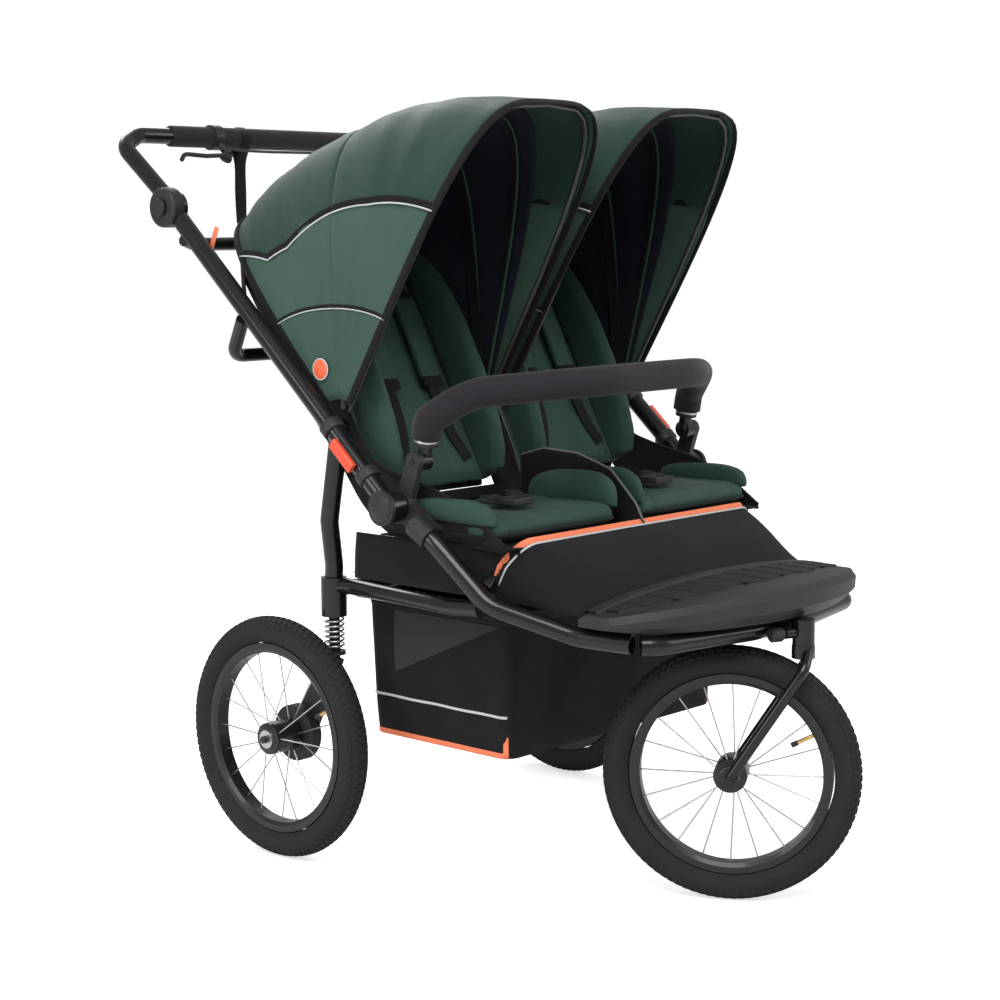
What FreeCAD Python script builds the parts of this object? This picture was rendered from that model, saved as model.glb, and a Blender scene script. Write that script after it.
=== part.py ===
"""Side-by-side double jogging stroller: aluminium tube frame on three spoked wheels.

Millimetres. +Z is up, -Y is the front, +X is the children's left. The origin is on the
ground under the middle of the stroller. Places along the frame are given as a distance
ahead of the rear axle and a height above the ground, worked out by at().
"""
import FreeCAD, Part
import Sketcher
import os
from math import atan2, cos, pi, radians, sin, tan
from FreeCAD import Placement, Rotation, Vector

X_AXIS, Y_AXIS, Z_AXIS = Vector(1, 0, 0), Vector(0, 1, 0), Vector(0, 0, 1)
SIDES = (("left", 1), ("right", -1))

doc = FreeCAD.newDocument("Stroller")
sheet = doc.addObject("Spreadsheet::Sheet", "Sizes")

SIZES = {
    # wheels
    "tyre_radius": 200, "tyre_section": 48, "rim_inner_radius": 141, "rim_bed_radius": 157,
    "rim_width": 30, "spoke_radius": 1.1, "spoke_count": 20, "hub_length": 58,
    "hub_flange_radius": 24, "hub_core_radius": 15, "hub_bore_radius": 6.05, "axle_radius": 6,
    "wheel_plane": 359, "axle_length": 92, "drum_radius": 46, "drum_depth": 20,
    # where the frame stands
    "rear_axle_y": 238, "frame_half_width": 372, "tube_radius": 15, "tube_wall": 2,
    "hinge_ahead": 281, "hinge_high": 607, "hinge_radius": 27, "lower_slope": 31,
    "handle_joint_behind": 232, "handle_joint_high": 1062,
    "leg_top_distance": 186, "strut_ahead": 77, "strut_half_width": 303, "leg_foot_high": 452,
    "rail_ahead": 452, "rail_high": 470, "front_tube_high": 428, "front_tube_ahead": 688,
    "front_half_width": 262,
    # front fork
    "steer_ahead": 790, "head_radius": 17, "head_low": 404, "head_high": 444,
    "steerer_radius": 11, "steer_clearance": 0.05, "trail": 107, "steer_angle": 31,
    "fork_leg_radius": 8.5, "fork_half_gap": 42, "fork_crown_low": 384,
    # footplate and soft parts
    "plate_half_width": 304, "plate_back_ahead": 600, "plate_corner_ahead": 690,
    "plate_bow": 108, "plate_low": 446, "plate_thick": 30, "plate_crown": 20,
    "seat_half_width": 160, "seat_middle": 176, "seat_front_ahead": 462, "seat_back_ahead": 205,
    "seat_high": 598, "pad_thick": 44, "back_length": 470, "back_thick": 46,
    "back_middle": 170, "back_half_width": 130, "back_angle": 62, "recline_radius": 8,
    "basket_half_width": 268, "basket_front_ahead": 432, "basket_rear_ahead": 112,
    "basket_low": 208, "basket_high": 436, "fabric_thick": 4,
    # hoods
    "hood_pivot_ahead": 150, "hood_pivot_high": 724, "hood_middle": 183, "hood_half_width": 168,
    "hood_rear_reach": 452, "hood_mid_reach": 468, "hood_front_reach": 575,
    "hood_rear_angle": 46, "hood_mid_angle": 86, "hood_front_angle": 121,
    "bow_radius": 4, "bow_squareness": 0.5,
    # handle and bumper bar
    "handle_reach": 150, "handle_rise": 110,
    "handle_tube_radius": 14, "grip_radius": 18, "grip_half_length": 250,
    "lever_offset": 150, "strap_offset": 90, "strap_drop": 130, "cable_radius": 2.6,
    "joint_radius": 33, "button_radius": 14, "joint_width": 36,
    "bar_pivot_ahead": 308, "bar_pivot_high": 677, "bar_half_width": 326, "bar_tube_radius": 11,
    "foam_radius": 24, "bar_high": 782, "bar_reach": 176,
    # suspension
    "spring_low": 346, "spring_high": 404, "spring_radius": 17, "spring_wire": 3.2,
    "slider_radius": 9, "boot_radius": 21,
}
for row, (alias, value) in enumerate(SIZES.items(), start=1):
    sheet.set(f"A{row}", alias)
    sheet.set(f"B{row}", str(value))
    sheet.setAlias(f"B{row}", alias)
doc.recompute()


class Sheet:
    """Reads a size from the spreadsheet by its alias."""
    def __getattr__(self, alias):
        return float(sheet.get(alias))


size = Sheet()
NODES = {}


def at(x, ahead, high):
    """A point of the frame, from its distance ahead of the rear axle and its height."""
    return Vector(x, size.rear_axle_y - ahead, high)


def keep(node, thing):
    """Names the object and lists it as a sub-part."""
    thing.Label = node
    NODES[node] = thing
    return thing


def solid(node, shape):
    """A sub-part whose form is worked out from the sheet with Part's own functions."""
    thing = doc.addObject("Part::Feature", node)
    thing.Shape = shape
    return keep(node, thing)


def lathe(node, outline, placement):
    """A turned piece: its half section is sketched along X, and revolved about X.

    outline is a list of (station, radius) pairs, each a formula on the sheet's sizes.
    """
    body = doc.addObject("PartDesign::Body", node)
    sketch = body.newObject("Sketcher::SketchObject", node + "_section")
    plane = [f for f in body.Origin.OriginFeatures if f.Role == "XY_Plane"][0]
    sketch.AttachmentSupport = [(plane, "")]
    sketch.MapMode = "FlatFace"
    values = [[number(text) for text in pair] for pair in outline]
    count = len(values)
    for k in range(count):
        start, end = values[k], values[(k + 1) % count]
        sketch.addGeometry(Part.LineSegment(Vector(*start, 0), Vector(*end, 0)), False)
    for k in range(count):
        sketch.addConstraint(Sketcher.Constraint("Coincident", k, 2, (k + 1) % count, 1))
    for k, pair in enumerate(outline):
        for kind, text, value in zip(("DistanceX", "DistanceY"), pair, values[k]):
            index = sketch.addConstraint(Sketcher.Constraint(kind, -1, 1, k, 1, value))
            sketch.setExpression(f"Constraints[{index}]", bound(text))
    turn = body.newObject("PartDesign::Revolution", node + "_turn")
    turn.Profile = sketch
    turn.ReferenceAxis = (sketch, ["H_Axis"])
    turn.Angle = 360
    body.Tip = turn
    body.Placement = placement
    return keep(node, body)


def bound(text):
    """The formula with each size named as the spreadsheet's cell."""
    words = text.replace("(", " ( ").replace(")", " ) ").split()
    return " ".join("Sizes." + word if word in SIZES else word for word in words)


probe = doc.addObject("Part::Vertex", "Probe")


def number(text):
    """The formula's value now."""
    probe.setExpression("X", bound(text))
    probe.recompute()
    return probe.X.Value


def cylinder(node, radius, height, base, along):
    """A round bar bound to the sheet, from base along a direction."""
    bar = doc.addObject("Part::Cylinder", node)
    bar.setExpression("Radius", bound(radius))
    bar.setExpression("Height", bound(height))
    bar.Placement = Placement(base, Rotation(Z_AXIS, along))
    return bar


def less(node, body, tool):
    """The body with the tool's space cut away."""
    cut = doc.addObject("Part::Cut", node)
    cut.Base = body
    cut.Tool = tool
    return cut


def rod(start, end, radius):
    """A straight round bar between two points."""
    return Part.makeCylinder(radius, (end - start).Length, start, end - start)


def path(points, bend):
    """Straight runs between the points, joined by tangent arcs of the bend radius."""
    edges, start = [], points[0]
    for before, corner, after in zip(points, points[1:], points[2:]):
        inward, outward = (before - corner).normalize(), (after - corner).normalize()
        half = inward.getAngle(outward) / 2
        back = min(bend / tan(half), 0.45 * (corner - before).Length, 0.45 * (after - corner).Length)
        arc_start, arc_end = corner + inward * back, corner + outward * back
        middle = (inward + outward).normalize()
        radius = back * tan(half)
        crown = corner + middle * (radius / sin(half) - radius)
        edges.append(Part.LineSegment(start, arc_start).toShape())
        edges.append(Part.Arc(arc_start, crown, arc_end).toShape())
        start = arc_end
    edges.append(Part.LineSegment(start, points[-1]).toShape())
    return Part.Wire(edges)


def tube(points, radius, bend=60, wall=0):
    """A bent round tube along the points, hollow where a wall is given."""
    spine = path(points, bend)
    first = spine.Edges[0]
    ring = Part.Wire(Part.Circle(points[0], first.tangentAt(first.FirstParameter), radius).toShape())
    body = spine.makePipeShell([ring], True, False)
    if wall:
        ring = Part.Wire(Part.Circle(points[0], first.tangentAt(first.FirstParameter),
                                     radius - wall).toShape())
        body = body.cut(spine.makePipeShell([ring], True, False))
    return body


def mirrored(shape):
    """The same shape on the other side of the stroller."""
    return shape.mirror(Vector(0, 0, 0), X_AXIS)


def across(points, radius, bend):
    """A tube that crosses the stroller: the left half's points, then their mirror images."""
    return tube(points + [Vector(-p.x, p.y, p.z) for p in reversed(points)], radius, bend)


def both_sides(name, left_shape):
    """A left piece and its mirror image."""
    solid(name + "_left", left_shape)
    solid(name + "_right", mirrored(left_shape))


def pair(node, left_shape):
    """A left piece and its mirror image as two solids of one node."""
    solid(node, Part.makeCompound([left_shape, mirrored(left_shape)]))


def slab(corners, depth, rounding):
    """A plate: flat outline pushed along depth, its long edges rounded."""
    block = Part.Face(Part.makePolygon(corners + corners[:1])).extrude(depth)
    return block.makeFillet(rounding, block.Edges) if rounding else block


def loft(sections):
    """A solid through closed outlines of equally many points."""
    wires = [Part.makePolygon(points + points[:1]) for points in sections]
    return Part.makeLoft(wires, True, False)


# ---------------------------------------------------------------- main points of the frame
hinge = at(0, size.hinge_ahead, size.hinge_high)
handle_joint = at(0, -size.handle_joint_behind, size.handle_joint_high)
upper_angle = atan2(handle_joint.z - hinge.z, handle_joint.y - hinge.y)
upper_along = Vector(0, cos(upper_angle), sin(upper_angle))
steer = at(0, size.steer_ahead, 0)
steer_turn = Rotation(Z_AXIS, size.steer_angle)
front_hub = steer + steer_turn.multVec(Vector(0, size.trail, size.tyre_radius))
rear_axle = at(0, 0, size.tyre_radius)
hood_pivot = at(0, size.hood_pivot_ahead, size.hood_pivot_high)
bar_pivot = at(0, size.bar_pivot_ahead, size.bar_pivot_high)
leg_foot = at(size.strut_half_width, size.strut_ahead, size.leg_foot_high)
rail_end = at(size.frame_half_width - 34, size.rail_ahead, size.rail_high)
front_corner = at(size.front_half_width, size.front_tube_ahead, size.front_tube_high)


def on_upper(distance, x=0.0, lift=0.0):
    """A point of the upper tubes, at a distance from the main hinge and above the tube."""
    square = Vector(0, -sin(upper_angle), cos(upper_angle))
    return hinge + upper_along * distance + square * lift + Vector(x, 0, 0)


# ---------------------------------------------------------------- wheels
# Air tyres on aluminium rims with steel spokes. The rear wheels stand outside the swing
# arms on stub axles, and the front wheel runs between the legs of the fork.
def wheel(name, middle, turn):
    """Tyre, rim, and spoked hub about the wheel's own axle, which lies along X unturned."""
    place = Placement(middle, turn)
    ring = doc.addObject("Part::Torus", "tyre_ring_" + name)
    ring.setExpression("Radius1", bound("tyre_radius - tyre_section / 2"))
    ring.setExpression("Radius2", bound("tyre_section / 2"))
    ring.Placement = Placement(Vector(0, 0, 0), Rotation(Y_AXIS, 90))
    seat = cylinder("tyre_seat_" + name, "rim_bed_radius + 0.1", "tyre_section * 1.1",
                    Vector(-size.tyre_section * 0.55, 0, 0), X_AXIS)
    tyre = less("tyre_" + name, ring, seat)
    tyre.Placement = place
    keep("tyre_" + name, tyre)

    side = size.rim_width
    shift = Placement(middle - turn.multVec(Vector(side, 0, 0)), turn)
    lathe("rim_" + name, (
        ("rim_width * 0.62", "rim_inner_radius"),
        ("rim_width * 1.38", "rim_inner_radius"),
        ("rim_width * 1.5", "rim_inner_radius + 6"),
        ("rim_width * 1.5", "rim_bed_radius"),
        ("rim_width * 0.5", "rim_bed_radius"),
        ("rim_width * 0.5", "rim_inner_radius + 6")), shift)

    half = size.hub_length / 2
    hub = Part.makeCylinder(size.hub_core_radius, 2 * half, Vector(-half, 0, 0), X_AXIS)
    for side in (-1, 1):
        flange = Vector(side * (half - 9) - 2, 0, 0)
        hub = hub.fuse(Part.makeCylinder(size.hub_flange_radius, 4, flange, X_AXIS))
    hub = hub.cut(Part.makeCylinder(size.hub_bore_radius, 3 * half, Vector(-1.5 * half, 0, 0), X_AXIS))
    count = int(size.spoke_count)
    spokes = []
    for k in range(count):
        side = 1 if k % 2 else -1
        angle = 2 * pi * k / count
        lead = angle + radians(9 if k % 4 < 2 else -9)
        inner, outer = size.hub_flange_radius - 3, size.rim_inner_radius + 3
        start = Vector(side * (half - 9), inner * cos(lead), inner * sin(lead))
        end = Vector(side * 3, outer * cos(angle), outer * sin(angle))
        spokes.append(rod(start, end, size.spoke_radius))
    thing = solid("hub_" + name, hub.multiFuse(spokes))
    thing.Placement = place


for side, sign in SIDES:
    wheel("rear_" + side, rear_axle + Vector(sign * size.wheel_plane, 0, 0), Rotation())
wheel("front", front_hub, steer_turn)

# ---------------------------------------------------------------- front fork and head tube
# The fork swivels in the head tube, and its wheel trails behind the steering axis.
head = less("head_tube", cylinder("head_tube_outside", "head_radius", "head_high - head_low",
                                  steer + Vector(0, 0, size.head_low), Z_AXIS),
            cylinder("head_tube_bore", "steerer_radius + steer_clearance",
                     "head_high - head_low + 20",
                     steer + Vector(0, 0, size.head_low - 10), Z_AXIS))
keep("head_tube", head)

gap = size.fork_half_gap
leg = size.fork_leg_radius
crown_high = size.head_low - 0.3
crown_low = size.fork_crown_low
crown = Part.makeCylinder(size.head_radius + 1, crown_high - crown_low, Vector(0, 0, crown_low))
fork = crown.fuse(Part.makeCylinder(size.steerer_radius, size.head_high - crown_high + 0.5,
                                    Vector(0, 0, crown_high)))
for sign in (-1, 1):
    top = Vector(sign * 11, -8, crown_high - 9)
    knee = Vector(sign * gap, -4, crown_low - 12)
    foot = Vector(sign * gap, size.trail, size.tyre_radius)
    fork = fork.fuse([tube([top, knee, foot], leg, 30),
                      Part.makeCylinder(15, 6, Vector(sign * gap - 3, size.trail, size.tyre_radius),
                                        X_AXIS)])
fork = fork.fuse(Part.makeCylinder(size.axle_radius, 2 * gap + 2 * leg + 8,
                                   Vector(-gap - leg - 4, size.trail, size.tyre_radius), X_AXIS))
solid("fork", fork).Placement = Placement(steer, steer_turn)

# sprung pin that holds the front wheel straight, in its housing beside the head tube
pin_middle = steer + Vector(0, 0, size.head_low + 20)
pin_way = (Rotation(Z_AXIS, -20).multVec(Vector(-1, 0, 0))).normalize()
lathe("swivel_lock_knob", (("10", "0.0"), ("10", "4"), ("26", "4"), ("26", "9"), ("30", "11"),
                           ("46", "11"), ("49", "8"), ("49", "0.0")),
      Placement(pin_middle + pin_way * (size.head_radius - 4), Rotation(X_AXIS, pin_way)))
knob_sleeve = Part.makeCylinder(8, 16, pin_middle + pin_way * (size.head_radius + 1.5), pin_way)
knob_way = Part.makeCylinder(4.1, 60, pin_middle + pin_way * (size.steerer_radius + 0.1), pin_way)

# ---------------------------------------------------------------- lower frame
# A bent tube runs down each side from the main hinge to the front, and side rails, rear
# legs and cross tubes are welded to the pair. The front cross tube carries the head tube.
lower_way = Vector(0, -cos(radians(size.lower_slope)), -sin(radians(size.lower_slope)))
lower_run = [hinge + lower_way * 44 + Vector(size.frame_half_width - 12, 0, 0),
             hinge + lower_way * 88 + Vector(size.frame_half_width - 14, 0, 0),
             rail_end,
             at(size.front_half_width + 26, size.rail_ahead + 130, size.front_tube_high + 4),
             front_corner + Vector(0, 20, 0)]
both_sides("lower_tube", tube(lower_run, size.tube_radius, 90, size.tube_wall))
radius = size.tube_radius
cross = across([front_corner + Vector(0, 4, 0), front_corner + Vector(-20, -14, 0),
                front_corner + Vector(-size.front_half_width + 60, -52, 0)], radius, 60)
web = Part.makeBox(26, size.steer_ahead - size.front_tube_ahead - 52 - size.head_radius + 8, 26,
                   Vector(-13, steer.y + size.head_radius - 4, size.front_tube_high - 11))
cross = cross.fuse(web).cut(Part.makeCylinder(size.head_radius, 200, steer + Vector(0, 0, 300)))
for name in ("lower_tube_left", "lower_tube_right"):
    cross = cross.cut(Part.makeCompound([NODES[name].Shape]))
cross = cross.fuse(knob_sleeve.cut(Part.makeCylinder(size.head_radius, 200, steer + Vector(0, 0, 300)))
                   .cut(knob_way))
solid("front_cross_tube", cross)

rail = tube([rail_end + Vector(-radius + 4, 24, -10),
             at(size.frame_half_width - 52, size.rail_ahead - 90, size.rail_high - 16),
             leg_foot + Vector(-2, -30, 4), leg_foot], radius - 2, 60)
rail = rail.cut(tube(lower_run, radius + 0.02, 90))
leg_top = on_upper(size.leg_top_distance, size.frame_half_width - 2 * radius - 1, -4)
boot = Part.makeCylinder(size.boot_radius, size.leg_foot_high - size.spring_high + 16,
                         Vector(leg_foot.x, leg_foot.y, size.spring_high), Z_AXIS)
slider_way = Part.makeCylinder(size.slider_radius + 0.05, 60,
                               Vector(leg_foot.x, leg_foot.y, size.spring_high - 10), Z_AXIS)
rear_leg = tube([leg_foot + Vector(0, 0, 6), leg_foot + Vector(4, -6, 36),
                 leg_foot + Vector(26, -20, 112), leg_top], radius, 60)
rear_leg = rear_leg.fuse(boot).cut(slider_way)
pair("side_rails", rail.cut(rear_leg).cut(slider_way))
both_sides("rear_leg", rear_leg)
foot_in = size.strut_half_width - size.boot_radius + 2
rear_cross = rod(Vector(-foot_in - 6, leg_foot.y, size.leg_foot_high - 6),
                 Vector(foot_in + 6, leg_foot.y, size.leg_foot_high - 6), radius - 3)
for side, sign in SIDES:
    rear_cross = rear_cross.cut(NODES["rear_leg_" + side].Shape)
seat_cross_at = at(0, size.seat_front_ahead - 24, size.seat_high - size.pad_thick - 30)
seat_cross = across([at(size.frame_half_width - 46, size.rail_ahead - 18, size.rail_high + 22),
                     at(size.seat_half_width + 120, size.seat_front_ahead - 30, seat_cross_at.z)],
                    radius - 4, 40)
for side, sign in SIDES:
    seat_cross = seat_cross.cut(tube(lower_run if sign > 0 else
                                     [Vector(-p.x, p.y, p.z) for p in lower_run], radius + 0.02, 90))
seat_cross = seat_cross.cut(NODES["side_rails"].Shape)
solid("cross_tubes", Part.makeCompound([seat_cross, rear_cross]))

# ---------------------------------------------------------------- main hinges and their pins
# A moulded casting on each lower tube holds the upper tube's eye between its cheeks, and
# a post on it carries the bumper bar.
ear = size.hinge_radius
outside = size.frame_half_width + 22
half_width = size.frame_half_width
inside = half_width - 32
post_thick, post_radius, plate_thick = 11, 15, 16
casting = Part.makeCylinder(ear, outside - inside, Vector(inside, hinge.y, hinge.z), X_AXIS)
arm_top = Vector(0, bar_pivot.y, bar_pivot.z)
post = slab([Vector(inside, hinge.y - 20, hinge.z), Vector(inside, hinge.y + 10, hinge.z + 6),
             Vector(inside, arm_top.y + 15, arm_top.z), Vector(inside, arm_top.y - 15, arm_top.z)],
            Vector(post_thick, 0, 0), 0)
post = post.fuse(Part.makeCylinder(post_radius, post_thick, Vector(inside, arm_top.y, arm_top.z), X_AXIS))
casting = casting.fuse(post)
eye_room = 30.6
casting = casting.cut(Part.makeCylinder(ear + 3, eye_room, hinge + X_AXIS * (half_width - eye_room / 2),
                                        X_AXIS))
pin_radius, bar_pin_radius = 7, 5
casting = casting.cut(Part.makeCylinder(pin_radius, 200, hinge + X_AXIS * (inside - 20), X_AXIS))
casting = casting.cut(Part.makeCylinder(bar_pin_radius, 60, arm_top + X_AXIS * (inside - 20), X_AXIS))
socket_start, socket_end, socket_wall = 47, 84, 4
lower_socket = rod(hinge + lower_way * socket_start + X_AXIS * (half_width - 12),
                   hinge + lower_way * socket_end + X_AXIS * (half_width - 13.5), radius + socket_wall)
square = Vector(0, lower_way.z, -lower_way.y)
plate = slab([hinge + square * 20 + Vector(inside, 0, 0), hinge - square * 20 + Vector(inside, 0, 0),
              hinge + lower_way * socket_end - square * radius + Vector(inside, 0, 0),
              hinge + lower_way * socket_end + square * radius + Vector(inside, 0, 0)],
             Vector(plate_thick, 0, 0), 0)
plate = plate.cut(Part.makeCylinder(pin_radius, 200, hinge + X_AXIS * (inside - 20), X_AXIS))
casting = casting.fuse([lower_socket, plate])
casting = casting.cut(tube(lower_run, radius, 90))
both_sides("hinge_casting", casting)
pins = []
head_radius, head_thick = 12, 3
for side, sign in SIDES:
    low = min(sign * (inside - head_thick), sign * (outside + head_thick))
    pins.append(Part.makeCylinder(pin_radius, outside - inside + 2 * head_thick, hinge + X_AXIS * low,
                                  X_AXIS))
    head_low = outside if sign > 0 else -outside - head_thick
    pins.append(Part.makeCylinder(head_radius, head_thick, hinge + X_AXIS * head_low, X_AXIS))
solid("hinge_pins", Part.makeCompound([pins[0].fuse(pins[1]), pins[2].fuse(pins[3])]))

# ---------------------------------------------------------------- upper frame, which folds
# A tube on each side turns on the main hinge, and two bent cross tubes join the pair.
# A round joint at the top of each tube holds the handle.
upper_bend, eye_width, shaft_room, joint_depth = 400, 30, 0.05, 6
upper_end = handle_joint + X_AXIS * (half_width - 4) - upper_along * (size.joint_radius - joint_depth)
upper = tube([on_upper(0, half_width), on_upper(60, half_width), upper_end], radius, upper_bend,
             size.tube_wall)
upper = upper.fuse(Part.makeCylinder(ear - 3, eye_width, hinge + X_AXIS * (half_width - eye_width / 2),
                                     X_AXIS))
upper = upper.cut(Part.makeCylinder(pin_radius + shaft_room, 2 * eye_width,
                                    hinge + X_AXIS * (half_width - eye_width), X_AXIS))
inner_half = half_width - size.joint_width / 2
joint_shell = Part.makeCylinder(size.joint_radius, size.joint_width, handle_joint + X_AXIS * inner_half,
                                X_AXIS)
upper = upper.cut(joint_shell)
both_sides("upper_tube", upper)
housing = joint_shell.makeFillet(5, joint_shell.Edges)
housing = housing.cut(Part.makeCylinder(6.05, 80, handle_joint + Vector(inner_half - 20, 0, 0), X_AXIS))
slot = Part.makeCylinder(size.joint_radius + 5, 14, handle_joint + Vector(inner_half - 1, 0, 0), X_AXIS)
button_seat = Part.makeCylinder(size.button_radius + 0.4, 20,
                                handle_joint + Vector(inner_half + size.joint_width - 5, 0, 0), X_AXIS)
pair("handle_joints", housing.cut(slot).cut(button_seat))
cross_tubes = []
for distance, lift in ((430, -95), (620, -22)):
    span = size.frame_half_width + 4
    bar = across([on_upper(distance, span, -radius + 3), on_upper(distance, span - 24, lift)], 11, 30)
    for side, sign in SIDES:
        bar = bar.cut(NODES["upper_tube_" + side].Shape)
    bar = max(bar.Solids, key=lambda s: s.Volume)
    cross_tubes.append(bar)
solid("upper_cross_tubes", Part.makeCompound(cross_tubes))

# catches on the outer faces of the upper tubes, which hold the frame open
catch_x = size.frame_half_width + radius + 0.4
catch = slab([on_upper(84, catch_x, -9), on_upper(142, catch_x, -9),
              on_upper(142, catch_x, 9), on_upper(84, catch_x, 9)], Vector(9, 0, 0), 2)
both_sides("fold_catch", catch)

# ---------------------------------------------------------------- handle
# One bent tube with a foam grip. It tilts in the two joints when their buttons are pressed.
reach = Vector(0, size.handle_reach, size.handle_rise)
arm_x = inner_half + 5.5
arm_way = Vector(0, size.handle_reach, size.handle_rise).normalize()
grip_at = handle_joint + reach
bar_run = [handle_joint + Vector(arm_x, 0, 0) + arm_way * 20,
           Vector(arm_x, grip_at.y - 14, grip_at.z - 6),
           Vector(arm_x - 44, grip_at.y, grip_at.z + 14),
           Vector(0, grip_at.y, grip_at.z + 14)]
half_bar = tube(bar_run, size.handle_tube_radius, 40, size.tube_wall)
hub_plate = Part.makeCylinder(26, 11, handle_joint + Vector(inner_half + 0.3, 0, 0), X_AXIS)
half_bar = half_bar.fuse(hub_plate)
joint_room = Part.makeCylinder(size.joint_radius + 5.5, 60,
                               handle_joint + Vector(inner_half + 12.3, 0, 0), X_AXIS)
stem_room = Part.makeCylinder(6.05, 80, handle_joint + Vector(inner_half - 20, 0, 0), X_AXIS)
half_bar = half_bar.cut(joint_room).cut(stem_room)
handle_bar = half_bar.fuse(mirrored(half_bar))
solid("handle_bar", handle_bar)
grip_axis = Vector(0, grip_at.y, grip_at.z + 14)
grip = rod(grip_axis - X_AXIS * size.grip_half_length, grip_axis + X_AXIS * size.grip_half_length,
           size.grip_radius)
solid("handle_grip", grip.cut(handle_bar))
button = Part.makeCylinder(size.button_radius, 7,
                           handle_joint + Vector(inner_half + size.joint_width + 0.3, 0, 0), X_AXIS)
button = button.makeFillet(2, button.Edges).fuse(
    Part.makeCylinder(6, size.joint_width - 13, handle_joint + Vector(inner_half + 14, 0, 0), X_AXIS))
both_sides("handle_button", button)

# parking brake: bracket clamped round the grip, lever, and the cable to the handle's arm
away = Vector(0, -0.76, -0.65)
lever_axis = X_AXIS.cross(away)
clamp_at = grip_axis - X_AXIS * size.lever_offset
lever_pivot = clamp_at + away * 48
bracket = rod(clamp_at - X_AXIS * 10, clamp_at + X_AXIS * 10, size.grip_radius + 4)
bracket = bracket.fuse(rod(clamp_at, lever_pivot + X_AXIS * 4, 7)).fuse(
    Part.makeCylinder(11, 5, lever_pivot + lever_axis * 4.3, lever_axis))
bracket = bracket.cut(Part.makeCylinder(13, 8.6, lever_pivot - lever_axis * 4.3, lever_axis))
bracket = bracket.cut(rod(clamp_at - X_AXIS * 30, clamp_at + X_AXIS * 30, size.grip_radius + 0.02))
bracket = bracket.fuse(Part.makeCylinder(3, 15, lever_pivot - lever_axis * 5, lever_axis))
solid("brake_bracket", max(bracket.Solids, key=lambda part: part.Volume))
lever = Part.makeCylinder(9, 8, lever_pivot - lever_axis * 4, lever_axis)
lever = lever.fuse(tube([lever_pivot, lever_pivot - X_AXIS * 50 + away * 4,
                         lever_pivot - X_AXIS * 96, lever_pivot - X_AXIS * 112 + away * 16], 3.9, 20))
solid("brake_lever", lever.cut(rod(lever_pivot - lever_axis * 20, lever_pivot + lever_axis * 20, 3.05)))
cable_low = grip_axis + away * 34
solid("brake_cable", tube([clamp_at + X_AXIS * 10.4 + away * 30, clamp_at + X_AXIS * 60 + away * 36,
                           cable_low + X_AXIS * 60, cable_low + X_AXIS * 200,
                           Vector(arm_x - size.handle_tube_radius - 6, grip_at.y - 24, grip_at.z - 12)],
                          size.cable_radius, 40))
strap_at = grip_axis + Vector(-size.strap_offset, 0, -size.grip_radius - 0.5)
strap = Part.makeBox(22, 2.4, size.strap_drop, strap_at + Vector(-11, -1.2, -size.strap_drop))
solid("wrist_strap", strap)

# ---------------------------------------------------------------- footplate and leg panel
# A moulded plate with a crowned, bowed front lies on the front of the frame, and a fabric
# panel runs up from it to the seats.
sections = []
for share in (-1, -0.86, -0.6, -0.3, 0, 0.3, 0.6, 0.86, 1):
    bulge = 1 - share * share
    end = 26 * share ** 8
    front = size.plate_corner_ahead + size.plate_bow * bulge - end
    low = size.plate_low + 6 * share ** 8
    high = size.plate_low + size.plate_thick + size.plate_crown * bulge - 5 * share ** 8
    lip = low + size.plate_crown * bulge * 0.6
    x = share * size.plate_half_width
    sections.append([at(x, size.plate_back_ahead, low), at(x, front - 16, low),
                     at(x, front - 1, lip + 6), at(x, front, high - 10), at(x, front - 9, high),
                     at(x, size.plate_back_ahead + 12, high), at(x, size.plate_back_ahead, high - 8)])
solid("footplate", loft(sections))
panel_top = at(0, size.seat_front_ahead + 6, size.seat_high - size.pad_thick - 6)
panel_low = at(0, size.plate_back_ahead - 3, size.plate_low + 14)
panel_half = size.plate_half_width - 6
skin = Vector(0, 0, size.fabric_thick + 2)
side_x = Vector(panel_half, 0, 0)
solid("leg_panel", slab([panel_top - side_x, panel_low - side_x, panel_low - side_x + skin,
                         panel_top - side_x + skin], side_x * 2, 0))

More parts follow.
